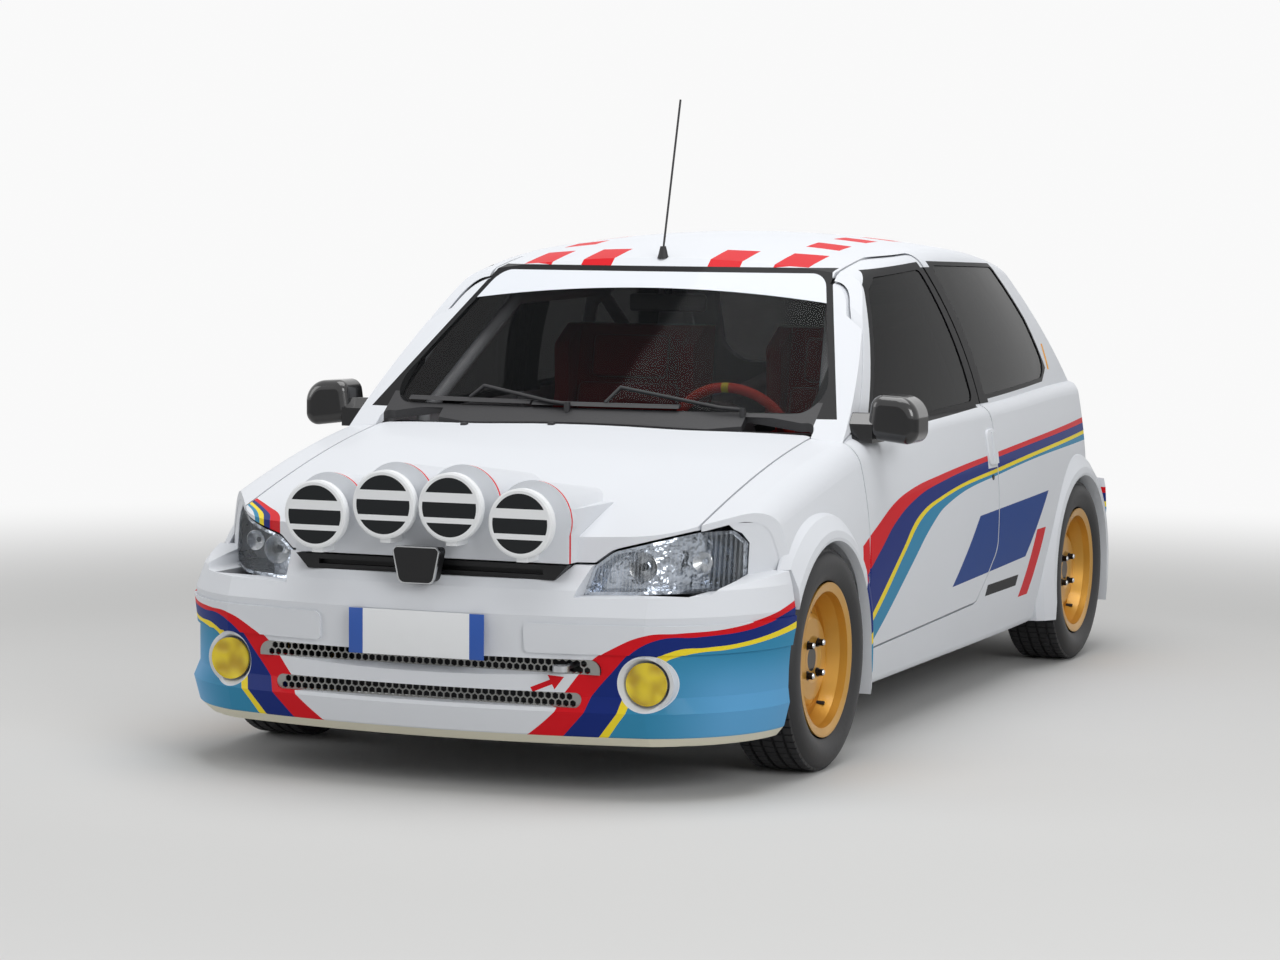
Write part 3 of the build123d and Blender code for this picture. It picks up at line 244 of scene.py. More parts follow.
def side_paint():
    """White with the bands, the blue panel, the black strip and the red flash."""
    material = clear_coat("side paint")
    tree = material.node_tree
    x, y, z = place(tree)
    across = work(tree, "ABSOLUTE", x)
    painted = bands(tree, y, z, side_edges, stripe_colours, white, white)
    blue_reach = work(tree, "MULTIPLY_ADD", z, -1.25, y)
    blue = every(tree, between(tree, -0.52, blue_reach, 0.19),
                 between(tree, 0.36, work(tree, "MULTIPLY_ADD", y, -0.027, z), 0.536))
    painted = over(tree, painted, shade(24, 62, 132), blue)
    strip = every(tree, between(tree, 0.16, work(tree, "MULTIPLY_ADD", z, -0.4, y), 0.48),
                  between(tree, 0.296, z, 0.328))
    painted = over(tree, painted, shade(24, 24, 28), strip)
    flash_reach = work(tree, "MULTIPLY_ADD", z, -0.6, y)
    flash = every(tree, between(tree, 0.50, flash_reach, 0.60), between(tree, 0.255, z, 0.45))
    painted = over(tree, painted, stripe_red, flash)
    handle = every(tree, between(tree, 0.254, y, 0.349), between(tree, 0.668, z, 0.786))
    painted = over(tree, painted, white, handle)
    facing = tree.nodes.new("ShaderNodeSeparateXYZ")
    tree.links.new(tree.nodes.new("ShaderNodeTexCoord").outputs["Normal"], facing.inputs[0])
    outward = work(tree, "MULTIPLY", facing.outputs[0], work(tree, "SIGN", x))
    outside = every(tree, work(tree, "GREATER_THAN", across, 0.64), work(tree, "GREATER_THAN", y, -0.866),
                    work(tree, "GREATER_THAN", outward, 0.45))
    painted = over(tree, white, painted, outside)
    lean = work(tree, "MULTIPLY_ADD", z, 0.34, y)
    pillar = every(tree, between(tree, 0.53, lean, 0.705), between(tree, 0.85, z, 1.245))
    seals = work(tree, "MAXIMUM", inside(tree, y, z, door_window, 0.020),
                 inside(tree, y, z, quarter_window, 0.012))
    painted = over(tree, painted, black, work(tree, "MAXIMUM", pillar, seals))
    screen_edge = work(tree, "MULTIPLY_ADD", z, 0.464, across)
    screen = every(tree, work(tree, "LESS_THAN", screen_edge, 1.078), between(tree, 0.86, z, 1.25),
                   work(tree, "LESS_THAN", y, -0.2))
    painted = over(tree, painted, black, screen)
    marker = every(tree, between(tree, 1.236, y, 1.262), between(tree, 0.912, z, 0.992))
    painted = over(tree, painted, shade(240, 164, 30), marker)
    return uneven(material, painted, 0.35, 0.03)


side_paint = side_paint()
print(side_paint.name, len(side_paint.node_tree.nodes), "nodes")

# %% [markdown]
# On the front bumper the same bands come from behind the wheel, run forward at headlamp height,
# wrap round the corner and dive under the nose. Measured along the surface instead of along the
# car, the wrap is one curve: the distance from the middle plus the distance back from the nose
# does that well enough. Both halves are alike, so the distance from the middle is taken unsigned.

# %% Paint for the front bumper
nose_edges = (
    ((0.276, 0.156), (0.333, 0.209), (0.373, 0.258), (0.448, 0.338), (0.500, 0.367), (0.588, 0.399),
     (0.70, 0.405), (0.88, 0.412), (1.06, 0.433), (1.151, 0.449)),
    ((0.370, 0.150), (0.419, 0.212), (0.457, 0.260), (0.506, 0.310), (0.562, 0.362), (0.629, 0.389),
     (0.771, 0.395), (0.975, 0.406), (1.136, 0.431)),
    ((0.472, 0.150), (0.499, 0.191), (0.548, 0.261), (0.611, 0.332), (0.686, 0.362), (0.808, 0.369),
     (0.918, 0.374), (1.13, 0.398)),
    ((0.497, 0.145), (0.540, 0.215), (0.563, 0.243), (0.657, 0.331), (0.72, 0.350), (0.787, 0.358),
     (0.881, 0.361), (1.123, 0.383)),
)
nose_y = -1.8
fog_x, fog_z = 0.56, 0.283
fog_surround = 0.068
lip_top = 0.152
corner_blue = shade(92, 158, 204)
cream = shade(222, 218, 198)
arrow_shaft = ((0.288, 0.256), (0.337, 0.2765), (0.332, 0.288), (0.283, 0.2675))
arrow_head = ((0.342, 0.264), (0.366, 0.2955), (0.326, 0.299))


def slope(tree, value, start, end):
    """Rises smoothly from 0 at the start to 1 at the end."""
    node = tree.nodes.new("ShaderNodeMapRange")
    node.interpolation_type = "SMOOTHSTEP"
    node.inputs["From Min"].default_value = start
    node.inputs["From Max"].default_value = end
    tree.links.new(value, node.inputs["Value"])
    return node.outputs[0]


def nose_paint():
    """White above the bands, teal and blue below them, a white ring round each fog lamp."""
    material = clear_coat("front bumper paint")
    tree = material.node_tree
    x, y, z = place(tree)
    across = work(tree, "ABSOLUTE", x)
    wrap = work(tree, "ADD", across, work(tree, "SUBTRACT", y, nose_y))
    painted = bands(tree, wrap, z, nose_edges, stripe_colours[:3], white, stripe_teal)
    beyond = every(tree, work(tree, "LESS_THAN", z, edge(tree, wrap, nose_edges[3])),
                   slope(tree, wrap, 0.56, 0.92), slope(tree, z, 0.37, 0.24))
    painted = over(tree, painted, corner_blue, beyond)
    off_x = work(tree, "SUBTRACT", across, fog_x)
    off_z = work(tree, "SUBTRACT", z, fog_z)
    reach = work(tree, "SQRT", work(tree, "ADD", work(tree, "MULTIPLY", off_x, off_x),
                                    work(tree, "MULTIPLY", off_z, off_z)))
    ring = every(tree, work(tree, "LESS_THAN", reach, fog_surround), work(tree, "LESS_THAN", y, -1.6))
    painted = over(tree, painted, white, ring)
    painted = over(tree, painted, cream, work(tree, "LESS_THAN", z, lip_top))
    arrow = work(tree, "MAXIMUM", inside(tree, x, z, arrow_shaft, 0.0), inside(tree, x, z, arrow_head, 0.0))
    painted = over(tree, painted, stripe_red, every(tree, arrow, work(tree, "LESS_THAN", y, -1.7)))
    return uneven(material, painted, 0.35, 0.03)


nose_paint = nose_paint()
print(nose_paint.name, len(nose_paint.node_tree.nodes), "nodes")

# %% [markdown]
# The rear bumper shows the four colours once more on its sides, as level bands just behind the
# wheel. They end a little way round the corner, so the back of the bumper is plain white.

# %% Paint for the rear bumper
tail_heights = (0.520, 0.501, 0.473, 0.456, 0.410)


def tail_paint():
    """White with four level bands on the sides."""
    material = clear_coat("rear bumper paint")
    tree = material.node_tree
    x, y, z = place(tree)
    painted = white
    for height, colour in zip(tail_heights, (*stripe_colours, white)):
        painted = over(tree, painted, colour, work(tree, "LESS_THAN", z, height))
    side = every(tree, work(tree, "GREATER_THAN", work(tree, "ABSOLUTE", x), 0.66),
                 between(tree, 1.45, y, 1.74))
    painted = over(tree, white, painted, side)
    return uneven(material, painted, 0.35, 0.03)


tail_paint = tail_paint()
print(tail_paint.name, len(tail_paint.node_tree.nodes), "nodes")

# %% [markdown]
# The other finishes are plain ones: two black plastics, dark metal for what hangs below the floor,
# gold paint on the wheels, and glass. Thin window glass is made with alpha and not with refraction,
# because light then still falls through it onto the seats.

# %% Paint, plastic, metal and glass


def plain(name, colour, roughness, metallic, size, strength, depth=0.0, **sockets):
    """A finish of one colour, made uneven."""
    return uneven(finish(name, colour, roughness, metallic, **sockets), colour, size, strength, depth)


body_paint = uneven(clear_coat("body paint"), white, 0.35, 0.03)
black_plastic = plain("black plastic", shade(32, 32, 35), 0.6, 0.0, 0.01, 0.2, 0.0004)
black_gloss = plain("black gloss", shade(16, 16, 18), 0.2, 0.0, 0.2, 0.1, Coat_Weight=0.6, Coat_Roughness=0.05)
dark_metal = plain("dark metal", shade(52, 52, 55), 0.5, 0.5, 0.05, 0.3, 0.0006)
cast_metal = plain("cast metal", shade(130, 130, 130), 0.55, 0.8, 0.02, 0.2, 0.0008)
steel = plain("steel", shade(188, 190, 194), 0.32, 1.0, 0.03, 0.12, 0.0002)
gold_alloy = plain("gold alloy", shade(206, 156, 62), 0.38, 0.55, 0.08, 0.1, Coat_Weight=0.3, Coat_Roughness=0.1)
silver = plain("silver", shade(210, 212, 214), 0.25, 1.0, 0.02, 0.1)
rubber = plain("rubber", shade(36, 36, 38), 0.55, 0.0, 0.012, 0.25, 0.0003)
# Window glass is near black and lets less than a fifth of the view through: partly tint, partly painted shade
# for the dark cabin and the dark reflections in the glass.
screen_glass = plain("screen glass", shade(8, 10, 12), 0.03, 0.0, 0.5, 0.2, Alpha=0.82, Specular_IOR_Level=0.05)
# The bowl's strong noise in colour, darkening by up to 85 per cent in patches about three centimetres wide, is
# painted reflection: dark and bright patches stand in for what the chrome reflector mirrors.
lamp_bowl = plain("lamp bowl", shade(206, 214, 226), 0.12, 1.0, 0.03, 0.85, 0.006)
red_lens = plain("red lens", shade(150, 14, 20), 0.12, 0.0, 0.05, 0.2, Coat_Weight=0.8, Coat_Roughness=0.03)
red_fabric = plain("red fabric", shade(168, 26, 34), 0.9, 0.0, 0.004, 0.35, 0.0006, Sheen_Weight=0.3)
cage_paint = plain("cage paint", shade(206, 208, 212), 0.35, 0.0, 0.1, 0.05)
print("plain finishes ready")

# %% [markdown]
# The roof has a row of red squares behind its front edge and another down each side. The front
# edge bows back towards its ends, so the squares' distance from it is measured from a parabola. A
# black seal closes the edge over the windscreen.

# %% Paint for the roof
square_pitch = 0.235


def roof_paint():
    """White with red squares along the front and down both sides."""
    material = clear_coat("roof paint")
    tree = material.node_tree
    x, y, z = place(tree)
    across = work(tree, "ABSOLUTE", x)
    bow = work(tree, "MULTIPLY_ADD", work(tree, "MULTIPLY", x, x), -0.33, y)
    pair = work(tree, "MAXIMUM", between(tree, 0.145, across, 0.24), between(tree, 0.335, across, 0.43))
    front = every(tree, between(tree, -0.34, bow, -0.165), pair)
    step = work(tree, "FRACT", work(tree, "DIVIDE", work(tree, "ADD", y, 1.0), square_pitch))
    sides = every(tree, between(tree, 0.325, across, 0.425), between(tree, -0.06, y, 0.9),
                  between(tree, 0.22, step, 0.68))
    painted = over(tree, white, stripe_red, work(tree, "MAXIMUM", front, sides))
    seal = every(tree, work(tree, "LESS_THAN", z, 1.247), work(tree, "LESS_THAN", y, -0.2))
    return uneven(material, over(tree, painted, black, seal), 0.35, 0.03)


roof_paint = roof_paint()
print(roof_paint.name, "ready")

# %% [markdown]
# The bonnet is white but for its right front corner, where the four colours cross slantwise above
# the headlamp and widen towards the nose. There the edges are nearly straight on the sum of the
# two level coordinates, so they are drawn as curves of that sum along the car.

# %% Paint for the bonnet and the lamp pod
corner_shift = 2.6
corner_edges = (
    ((-1.720, 0.440), (-1.690, 0.456), (-1.632, 0.477), (-1.590, 0.474), (-1.440, 0.466)),
    ((-1.720, 0.418), (-1.680, 0.432), (-1.643, 0.449), (-1.607, 0.454), (-1.440, 0.452)),
    ((-1.720, 0.400), (-1.670, 0.419), (-1.632, 0.435), (-1.600, 0.440), (-1.440, 0.443)),
    ((-1.720, 0.392), (-1.657, 0.412), (-1.612, 0.426), (-1.558, 0.431), (-1.440, 0.437)),
    ((-1.720, 0.385), (-1.643, 0.405), (-1.606, 0.416), (-1.550, 0.422), (-1.440, 0.431)),
)
pod_line_y = (-1.767, -1.757)


def bonnet_paint():
    """White with the four colours across its right front corner."""
    material = clear_coat("bonnet paint")
    tree = material.node_tree
    x, y, z = place(tree)
    slant = work(tree, "ADD", work(tree, "ADD", x, y), corner_shift)
    painted = bands(tree, y, slant, corner_edges, stripe_colours, white, white)
    corner = every(tree, work(tree, "LESS_THAN", x, -0.4), work(tree, "LESS_THAN", y, -1.45))
    return uneven(material, over(tree, white, painted, corner), 0.35, 0.03)


def pod_paint():
    """White with a thin red line round the front of each hump."""
    material = clear_coat("pod paint")
    tree = material.node_tree
    x, y, z = place(tree)
    line = between(tree, pod_line_y[0], y, pod_line_y[1])
    return uneven(material, over(tree, white, stripe_red, line), 0.35, 0.03)


bonnet_paint = bonnet_paint()
pod_paint = pod_paint()
print(bonnet_paint.name, "and", pod_paint.name, "ready")

# %% [markdown]
# A lamp glass is clear with upright ribs pressed into it, and the fog lamps below are yellow with
# a rippled face. Both are one CAD node, so the height decides. The ribs are a wave in the shader's
# bump and in its alpha, far cheaper than real ones and just as bright: their crests are painted
# highlights, pale lines where the glass is a little less clear. On the fog lamps the yellow is painted
# lighter on the ripples' crests and darker in their hollows, as painted light and shade.

# %% Lamp glass


def ribbed_glass():
    """Clear ribbed glass above, yellow below the bumper's slots."""
    material = finish("lamp glass", shade(214, 220, 226), 0.05, Coat_Weight=0.5, Coat_Roughness=0.03)
    tree = material.node_tree
    shader = tree.nodes["Principled BSDF"]
    x, y, z = place(tree)
    low = work(tree, "LESS_THAN", z, 0.4)
    ripple = tree.nodes.new("ShaderNodeTexNoise")
    ripple.inputs["Scale"].default_value = 24.0
    ripple.inputs["Detail"].default_value = 0.5
    tree.links.new(tree.nodes.new("ShaderNodeTexCoord").outputs["Object"], ripple.inputs["Vector"])
    # Painted light and shade: the yellow is lighter where the ripple stands high and darker where it is low.
    yellow = over(tree, shade(196, 160, 6), shade(246, 220, 36), slope(tree, ripple.outputs["Fac"], 0.3, 0.7))
    tree.links.new(over(tree, shade(206, 214, 222), yellow, low), shader.inputs["Base Color"])
    ribs = work(tree, "SINE", work(tree, "MULTIPLY", x, 760.0))
    # Painted highlights: the rib crests are a little more opaque, so the pale glass colour shows there as bright
    # lines.
    crest_highlight = work(tree, "MULTIPLY", work(tree, "GREATER_THAN", ribs, 0.75), 0.15)
    tree.links.new(work(tree, "MAXIMUM", work(tree, "MULTIPLY", low, 0.86), work(tree, "ADD", crest_highlight, 0.04)),
                   shader.inputs["Alpha"])
    bump = tree.nodes.new("ShaderNodeBump")
    bump.inputs["Distance"].default_value = 0.0008
    swell = work(tree, "MULTIPLY", ripple.outputs["Fac"], 14.0)
    tree.links.new(over(tree, ribs, swell, low), bump.inputs["Height"])
    tree.links.new(bump.outputs["Normal"], shader.inputs["Normal"])
    return material


lamp_glass = ribbed_glass()
print(lamp_glass.name, "ready")

# %% [markdown]
# The windscreen is clearer than the side windows, although both are one CAD node, so the
# place along the car decides again. The side windows are near black and nearly opaque, partly as a
# tint and partly as painted shade for the dark cabin and the dark reflections in them. A white sun
# strip runs along the windscreen's top: it is opaque, and its lower edge is a parabola that drops
# towards the ends.

# %% Windscreen
strip_low_z = 1.188


def windscreen_finish():
    """Clear in front with a white strip on top, dark at the sides."""
    material = finish("windscreen", shade(8, 10, 12), 0.03, Specular_IOR_Level=0.05)
    tree = material.node_tree
    x, y, z = place(tree)
    front = every(tree, work(tree, "LESS_THAN", y, -0.2), between(tree, -0.6, x, 0.6))
    edge_height = work(tree, "MULTIPLY_ADD", work(tree, "MULTIPLY", x, x), 0.125, z)
    strip = every(tree, front, work(tree, "GREATER_THAN", edge_height, strip_low_z))
    # Outside the windscreen proper the glass is nearly opaque: partly tint, partly painted shade.
    alpha = work(tree, "MAXIMUM", strip, work(tree, "MULTIPLY_ADD", front, -0.46, 0.82))
    tree.links.new(alpha, tree.nodes["Principled BSDF"].inputs["Alpha"])
    return uneven(material, over(tree, shade(8, 10, 12), shade(222, 226, 232), strip), 0.2, 0.03)


windscreen = windscreen_finish()
print(windscreen.name, "ready")

# %% [markdown]
# Three finishes change with the place on one CAD node. The grille node holds a black slot above and
# two hexagon meshes below, whose strands are bare metal, so the height decides. A wheel is gold
# all over but for its dark middle, partly the hub's own dark metal and partly painted shade in the
# hole round it, so the distance from the axle decides; the front and rear axles are told apart by
# the sign of the coordinate along the car.
# The steering wheel's red rim is found in the same way, and has one yellow mark at its top.

# %% Grille, wheel and steering wheel finishes
front_axle_y, rear_axle_y, axle_z = -1.123, 1.262, 0.280
hub_and_hole_shade_radius = 0.031
steering_middle = (0.290, -0.473, 0.771)


def grille_finish():
    """Black above, pale metal strands in the bumper's two meshes."""
    material = finish("grille", black, 0.45, 0.4)
    tree = material.node_tree
    x, y, z = place(tree)
    colour = over(tree, shade(26, 26, 28), shade(150, 150, 147), work(tree, "LESS_THAN", z, 0.40))
    return uneven(material, colour, 0.01, 0.15)


def gold_finish():
    """Gold paint, dark in the middle: dark metal at the axle and painted shade in the hole round it."""
    material = finish("wheel gold", shade(206, 156, 62), 0.36, 0.55, Coat_Weight=0.3, Coat_Roughness=0.1)
    tree = material.node_tree
    x, y, z = place(tree)
    rear = work(tree, "GREATER_THAN", y, 0.0)
    axle_y = work(tree, "MULTIPLY_ADD", rear, rear_axle_y - front_axle_y, front_axle_y)
    off_y = work(tree, "SUBTRACT", y, axle_y)
    off_z = work(tree, "SUBTRACT", z, axle_z)
    reach = work(tree, "SQRT", work(tree, "ADD", work(tree, "MULTIPLY", off_y, off_y),
                                    work(tree, "MULTIPLY", off_z, off_z)))
    # The dark middle within this radius is partly the hub's own dark metal and partly painted shade in the hole
    # round it.
    hub_and_hole_shade = work(tree, "LESS_THAN", reach, hub_and_hole_shade_radius)
    return uneven(material, over(tree, shade(204, 152, 58), shade(30, 28, 26), hub_and_hole_shade), 0.06, 0.12)


def steering_finish():
    """Black in the middle, a red rim with a yellow mark at its top."""
    material = finish("steering wheel", black, 0.7)
    tree = material.node_tree
    x, y, z = place(tree)
    off = [work(tree, "SUBTRACT", value, middle) for value, middle in zip((x, y, z), steering_middle)]
    squares = [work(tree, "MULTIPLY", value, value) for value in off]
    reach = work(tree, "SQRT", work(tree, "ADD", squares[0], work(tree, "ADD", squares[1], squares[2])))
    top = every(tree, between(tree, -0.010, off[0], 0.010), work(tree, "GREATER_THAN", off[2], 0.0))
    rim = over(tree, shade(214, 52, 40), stripe_yellow, top)
    return uneven(material, over(tree, black, rim, work(tree, "GREATER_THAN", reach, 0.146)), 0.01, 0.2)


mesh_finish = grille_finish()
steering_red = steering_finish()
wheel_gold = gold_finish()
print(mesh_finish.name, "and", wheel_gold.name, "ready")

# %% [markdown]
# The four rally lamps wear white covers with black fields: a cap at the top, a band across the
# middle and a bowl at the bottom, inside a white rim. Every cover has the same pattern about its
# own middle, so the nearest lamp's middle is found first and the heights are taken from there.

# %% Rally lamp covers
lamp_middles = ((0.088, 0.692), (0.273, 0.661))
cover_radius = 0.083
cover_front_y = -1.838


def cover_paint():
    """White covers with three black fields and white backs."""
    material = clear_coat("lamp cover")
    tree = material.node_tree
    x, y, z = place(tree)
    across = work(tree, "ABSOLUTE", x)
    outer = work(tree, "GREATER_THAN", across, 0.18)
    middle_x = work(tree, "MULTIPLY_ADD", outer, lamp_middles[1][0] - lamp_middles[0][0], lamp_middles[0][0])
    middle_z = work(tree, "MULTIPLY_ADD", outer, lamp_middles[1][1] - lamp_middles[0][1], lamp_middles[0][1])
    side = work(tree, "DIVIDE", work(tree, "SUBTRACT", across, middle_x), cover_radius)
    rise = work(tree, "DIVIDE", work(tree, "SUBTRACT", z, middle_z), cover_radius)
    reach = work(tree, "SQRT", work(tree, "ADD", work(tree, "MULTIPLY", side, side),
                                    work(tree, "MULTIPLY", rise, rise)))
    face = every(tree, work(tree, "LESS_THAN", reach, 0.86), work(tree, "LESS_THAN", y, cover_front_y))
    cap = work(tree, "GREATER_THAN", rise, 0.42)
    band = between(tree, -0.30, rise, 0.14)
    bowl = work(tree, "LESS_THAN", rise, -0.46)
    fields = work(tree, "MINIMUM", work(tree, "ADD", work(tree, "ADD", cap, band), bowl), 1.0)
    painted = over(tree, shade(236, 238, 240), shade(38, 40, 42), every(tree, face, fields))
    return uneven(material, painted, 0.1, 0.03)


lamp_cover = cover_paint()
print(lamp_cover.name, "ready")

# %% [markdown]
# Every CAD node now gets its finish. The record that comes with the part says what each node is
# made of, so one table from those words to the finishes dresses nearly all of them, and only the
# panels with paint lines of their own are named.

# %% Finishes on the CAD nodes
finishes = {
    "body_paint": body_paint, "bumper_paint": body_paint, "black_plastic": black_plastic,
    "black_gloss": black_gloss, "dark_metal": dark_metal, "cast_metal": cast_metal, "steel": steel,
    "gold_alloy": gold_alloy, "tyre": rubber, "screen_glass": screen_glass, "lamp_glass": lamp_glass,
    "lamp_bowl": lamp_bowl, "lamp_cover": lamp_cover, "red_lens": red_lens, "red_fabric": red_fabric,
    "cage_paint": cage_paint,
}
own_paint = {
    "side_frame_left": side_paint, "side_frame_right": side_paint, "door_left": side_paint,
    "door_right": side_paint, "front_wings": side_paint, "front_bumper": nose_paint,
    "scuttle_panel": black_plastic, "grilles": mesh_finish, "rim_front_left": wheel_gold,
    "rim_front_right": wheel_gold, "rim_rear_left": wheel_gold, "rim_rear_right": wheel_gold,
    "rear_bumper": tail_paint, "roof_panel": roof_paint, "bonnet": bonnet_paint, "lamp_pod": pod_paint,
    # The floor pan and the radiator wear dark metal as painted shade: darker than their own finish, the floor
    # pan's being the body's paint, so that they read dark through the bumper's slot and mesh.
    "fixed_glass": windscreen, "steering_wheel": steering_red, "floor_pan": dark_metal,
    "radiator": dark_metal,
}
made_of = {part["node"]: part["material_slot"] for part in frame["record"]["subparts"]}
for name, node in nodes.items():
    node.data.materials.clear()
    node.data.materials.append(own_paint.get(name, finishes[made_of[name]]))
print("dressed", len(nodes), "nodes in", len(bpy.data.materials), "materials")

# %% [markdown]
# New pieces are modelled as meshes that already stand where they belong, with the object itself at
# the origin. One helper closes a bmesh into such an object, turns its faces outwards, gives it a
# finish, and lets it ride on the body that carries it.

# %% A helper for new pieces


def piece(name, mesh, material, body, smooth=30.0):
    """The finished bmesh as an object on its body; edges sharper than smooth degrees stay crisp."""
    bmesh.ops.remove_doubles(mesh, verts=mesh.verts, dist=0.00001)
    bmesh.ops.recalc_face_normals(mesh, faces=mesh.faces)
    for face in mesh.faces:
        face.smooth = True
    for side in mesh.edges:
        if len(side.link_faces) == 2:
            side.smooth = side.calc_face_angle(0.0) < math.radians(smooth)
    data = bpy.data.meshes.new(name)
    mesh.to_mesh(data)
    mesh.free()
    data.materials.append(material)
    item = bpy.data.objects.new(name, data)
    bpy.context.scene.collection.objects.link(item)
    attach(item, body)
    return item


def rounded_box(mesh, low, high, bevel, turn=None):
    """A box between two corners with its edges rounded, turned about its middle."""
    made = bmesh.ops.create_cube(mesh, size=1.0)["verts"]
    low, high = Vector(low), Vector(high)
    bmesh.ops.scale(mesh, vec=high - low, verts=made)
    sides = list({side for point in made for side in point.link_edges})
    rounded = bmesh.ops.bevel(mesh, geom=sides, offset=bevel, affect="EDGES", segments=3,
                              profile=0.5, material=-1)
    whole = list({point for face in rounded["faces"] for point in face.verts})
    linked = [point for point in mesh.verts if point in whole or point in made]
    if turn is not None:
        bmesh.ops.rotate(mesh, cent=(0, 0, 0), matrix=turn, verts=linked)
    bmesh.ops.translate(mesh, vec=(low + high) / 2, verts=linked)
    return linked


print("piece helper ready")

# %% [markdown]
# A road tyre is the same section all the way round, so it starts as one profile spun about its
# axle in 72 steps. The tread is five ribs with narrow grooves between them: the faces on the ribs
# are inset one by one and pushed outwards, which leaves a groove on every side of each block. The
# outside of the blocks is exactly the CAD tyre's own radius.

# %% Tyres with tread blocks
groove_depth = 0.007
tyre_steps = 72
tyre_profile = (
    (-0.076, 0.199), (-0.082, 0.206), (-0.090, 0.222), (-0.0922, 0.238), (-0.090, 0.254), (-0.084, 0.266),
    (-0.074, 0.2725), (-0.050, 0.2730), (-0.045, 0.2730), (-0.019, 0.2730), (-0.014, 0.2730),
    (0.014, 0.2730), (0.019, 0.2730), (0.045, 0.2730), (0.050, 0.2730), (0.074, 0.2725),
    (0.084, 0.266), (0.090, 0.254), (0.0922, 0.238), (0.090, 0.222), (0.082, 0.206), (0.076, 0.199),
    (0.060, 0.201), (0.0, 0.203), (-0.060, 0.201),
)
wheel_places = {
    "front_left": (0.710, -1.123), "front_right": (-0.710, -1.123),
    "rear_left": (0.710, 1.262), "rear_right": (-0.710, 1.262),
}
axle_height = 0.280


def tyre_mesh():
    """One tyre about the X axis, at the origin."""
    mesh = bmesh.new()
    ring = [mesh.verts.new((across, 0, radius)) for across, radius in tyre_profile]
    chain = [mesh.edges.new((ring[step - 1], ring[step])) for step in range(len(ring))]
    bmesh.ops.spin(mesh, geom=ring + chain, cent=(0, 0, 0), axis=(1, 0, 0), angle=math.tau,
                   steps=tyre_steps, use_merge=True, use_duplicate=False)
    bmesh.ops.recalc_face_normals(mesh, faces=mesh.faces)
    ribs = []
    for face in mesh.faces:
        middle = face.calc_center_median()
        out = math.hypot(middle.y, middle.z)
        wide = max(point.co.x for point in face.verts) - min(point.co.x for point in face.verts)
        if out > 0.270 and wide > 0.008:
            ribs.append(face)
    bmesh.ops.inset_individual(mesh, faces=ribs, thickness=0.0032, depth=groove_depth)
    return mesh


for corner, (wheel_x, wheel_y) in wheel_places.items():
    mesh = tyre_mesh()
    bmesh.ops.translate(mesh, vec=(wheel_x, wheel_y, axle_height), verts=mesh.verts)
    tyre = piece("tread_" + corner, mesh, rubber, "wheel_" + corner, 35.0)
    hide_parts("tyre_" + corner)
print("tyre faces each", len(tyre.data.polygons))

# %% [markdown]
# Four bolts hold each wheel, and a rubber valve stands in the rim. A bolt is a thin washer, a six
# sided head and a slightly domed top, made from three short cones, and all of a wheel's bolts are
# one mesh because they turn together.

# %% Wheel bolts and valves
bolt_circle = 0.054
bolt_base = 0.043
bolt_black = uneven(finish("bolt black", shade(40, 40, 44), 0.3, 0.9), shade(44, 44, 48), 0.01, 0.2)


def stub(mesh, radius, top_radius, start, end, sides, centre, sign):
    """A short cone along X between two distances outward from the wheel's middle plane."""
    made = bmesh.ops.create_cone(mesh, cap_ends=True, segments=sides, radius1=radius, radius2=top_radius,
                                 depth=end - start)["verts"]
    bmesh.ops.rotate(mesh, cent=(0, 0, 0), matrix=Matrix.Rotation(sign * math.pi / 2, 3, "Y"), verts=made)
    bmesh.ops.translate(mesh, vec=(sign * (start + end) / 2, 0, 0), verts=made)
    bmesh.ops.translate(mesh, vec=centre, verts=made)


def bolt_places(wheel_x, wheel_y):
    """The middles of a wheel's four bolts."""
    for turn in range(4):
        angle = math.radians(45 + 90 * turn)
        yield wheel_x, wheel_y + bolt_circle * math.cos(angle), axle_height + bolt_circle * math.sin(angle)


for corner, (wheel_x, wheel_y) in wheel_places.items():
    sign = 1 if wheel_x > 0 else -1
    mesh = bmesh.new()
    for centre in bolt_places(wheel_x, wheel_y):
        stub(mesh, 0.0125, 0.0115, bolt_base - 0.006, bolt_base + 0.002, 24, centre, sign)
        stub(mesh, 0.0095, 0.0095, bolt_base + 0.002, bolt_base + 0.015, 6, centre, sign)
    piece("bolts_" + corner, mesh, bolt_black, "wheel_" + corner)
    mesh = bmesh.new()
    for centre in bolt_places(wheel_x, wheel_y):
        stub(mesh, 0.0076, 0.0058, bolt_base + 0.0151, bolt_base + 0.018, 16, centre, sign)
    piece("bolt_ends_" + corner, mesh, silver, "wheel_" + corner)
    mesh = bmesh.new()
    stub(mesh, 0.0055, 0.0045, 0.020, 0.040, 16, (wheel_x, wheel_y + 0.10, axle_height - 0.125), sign)
    piece("valve_" + corner, mesh, black_plastic, "wheel_" + corner)
print("bolts on", len(wheel_places), "wheels")

# %% [markdown]
# The race seats are hard shells, which the CAD part has, with soft pads laid into them: one to sit
# on, one up the back and a small one behind the head. A pad is a box with rounded edges, cut into
# rows so that it can swell between its seams. It is shorter than the shell's hollow and leans as the
# shell does.

# %% Seat pads
seat_middles = (0.340, -0.340)
back_lean = math.radians(12)


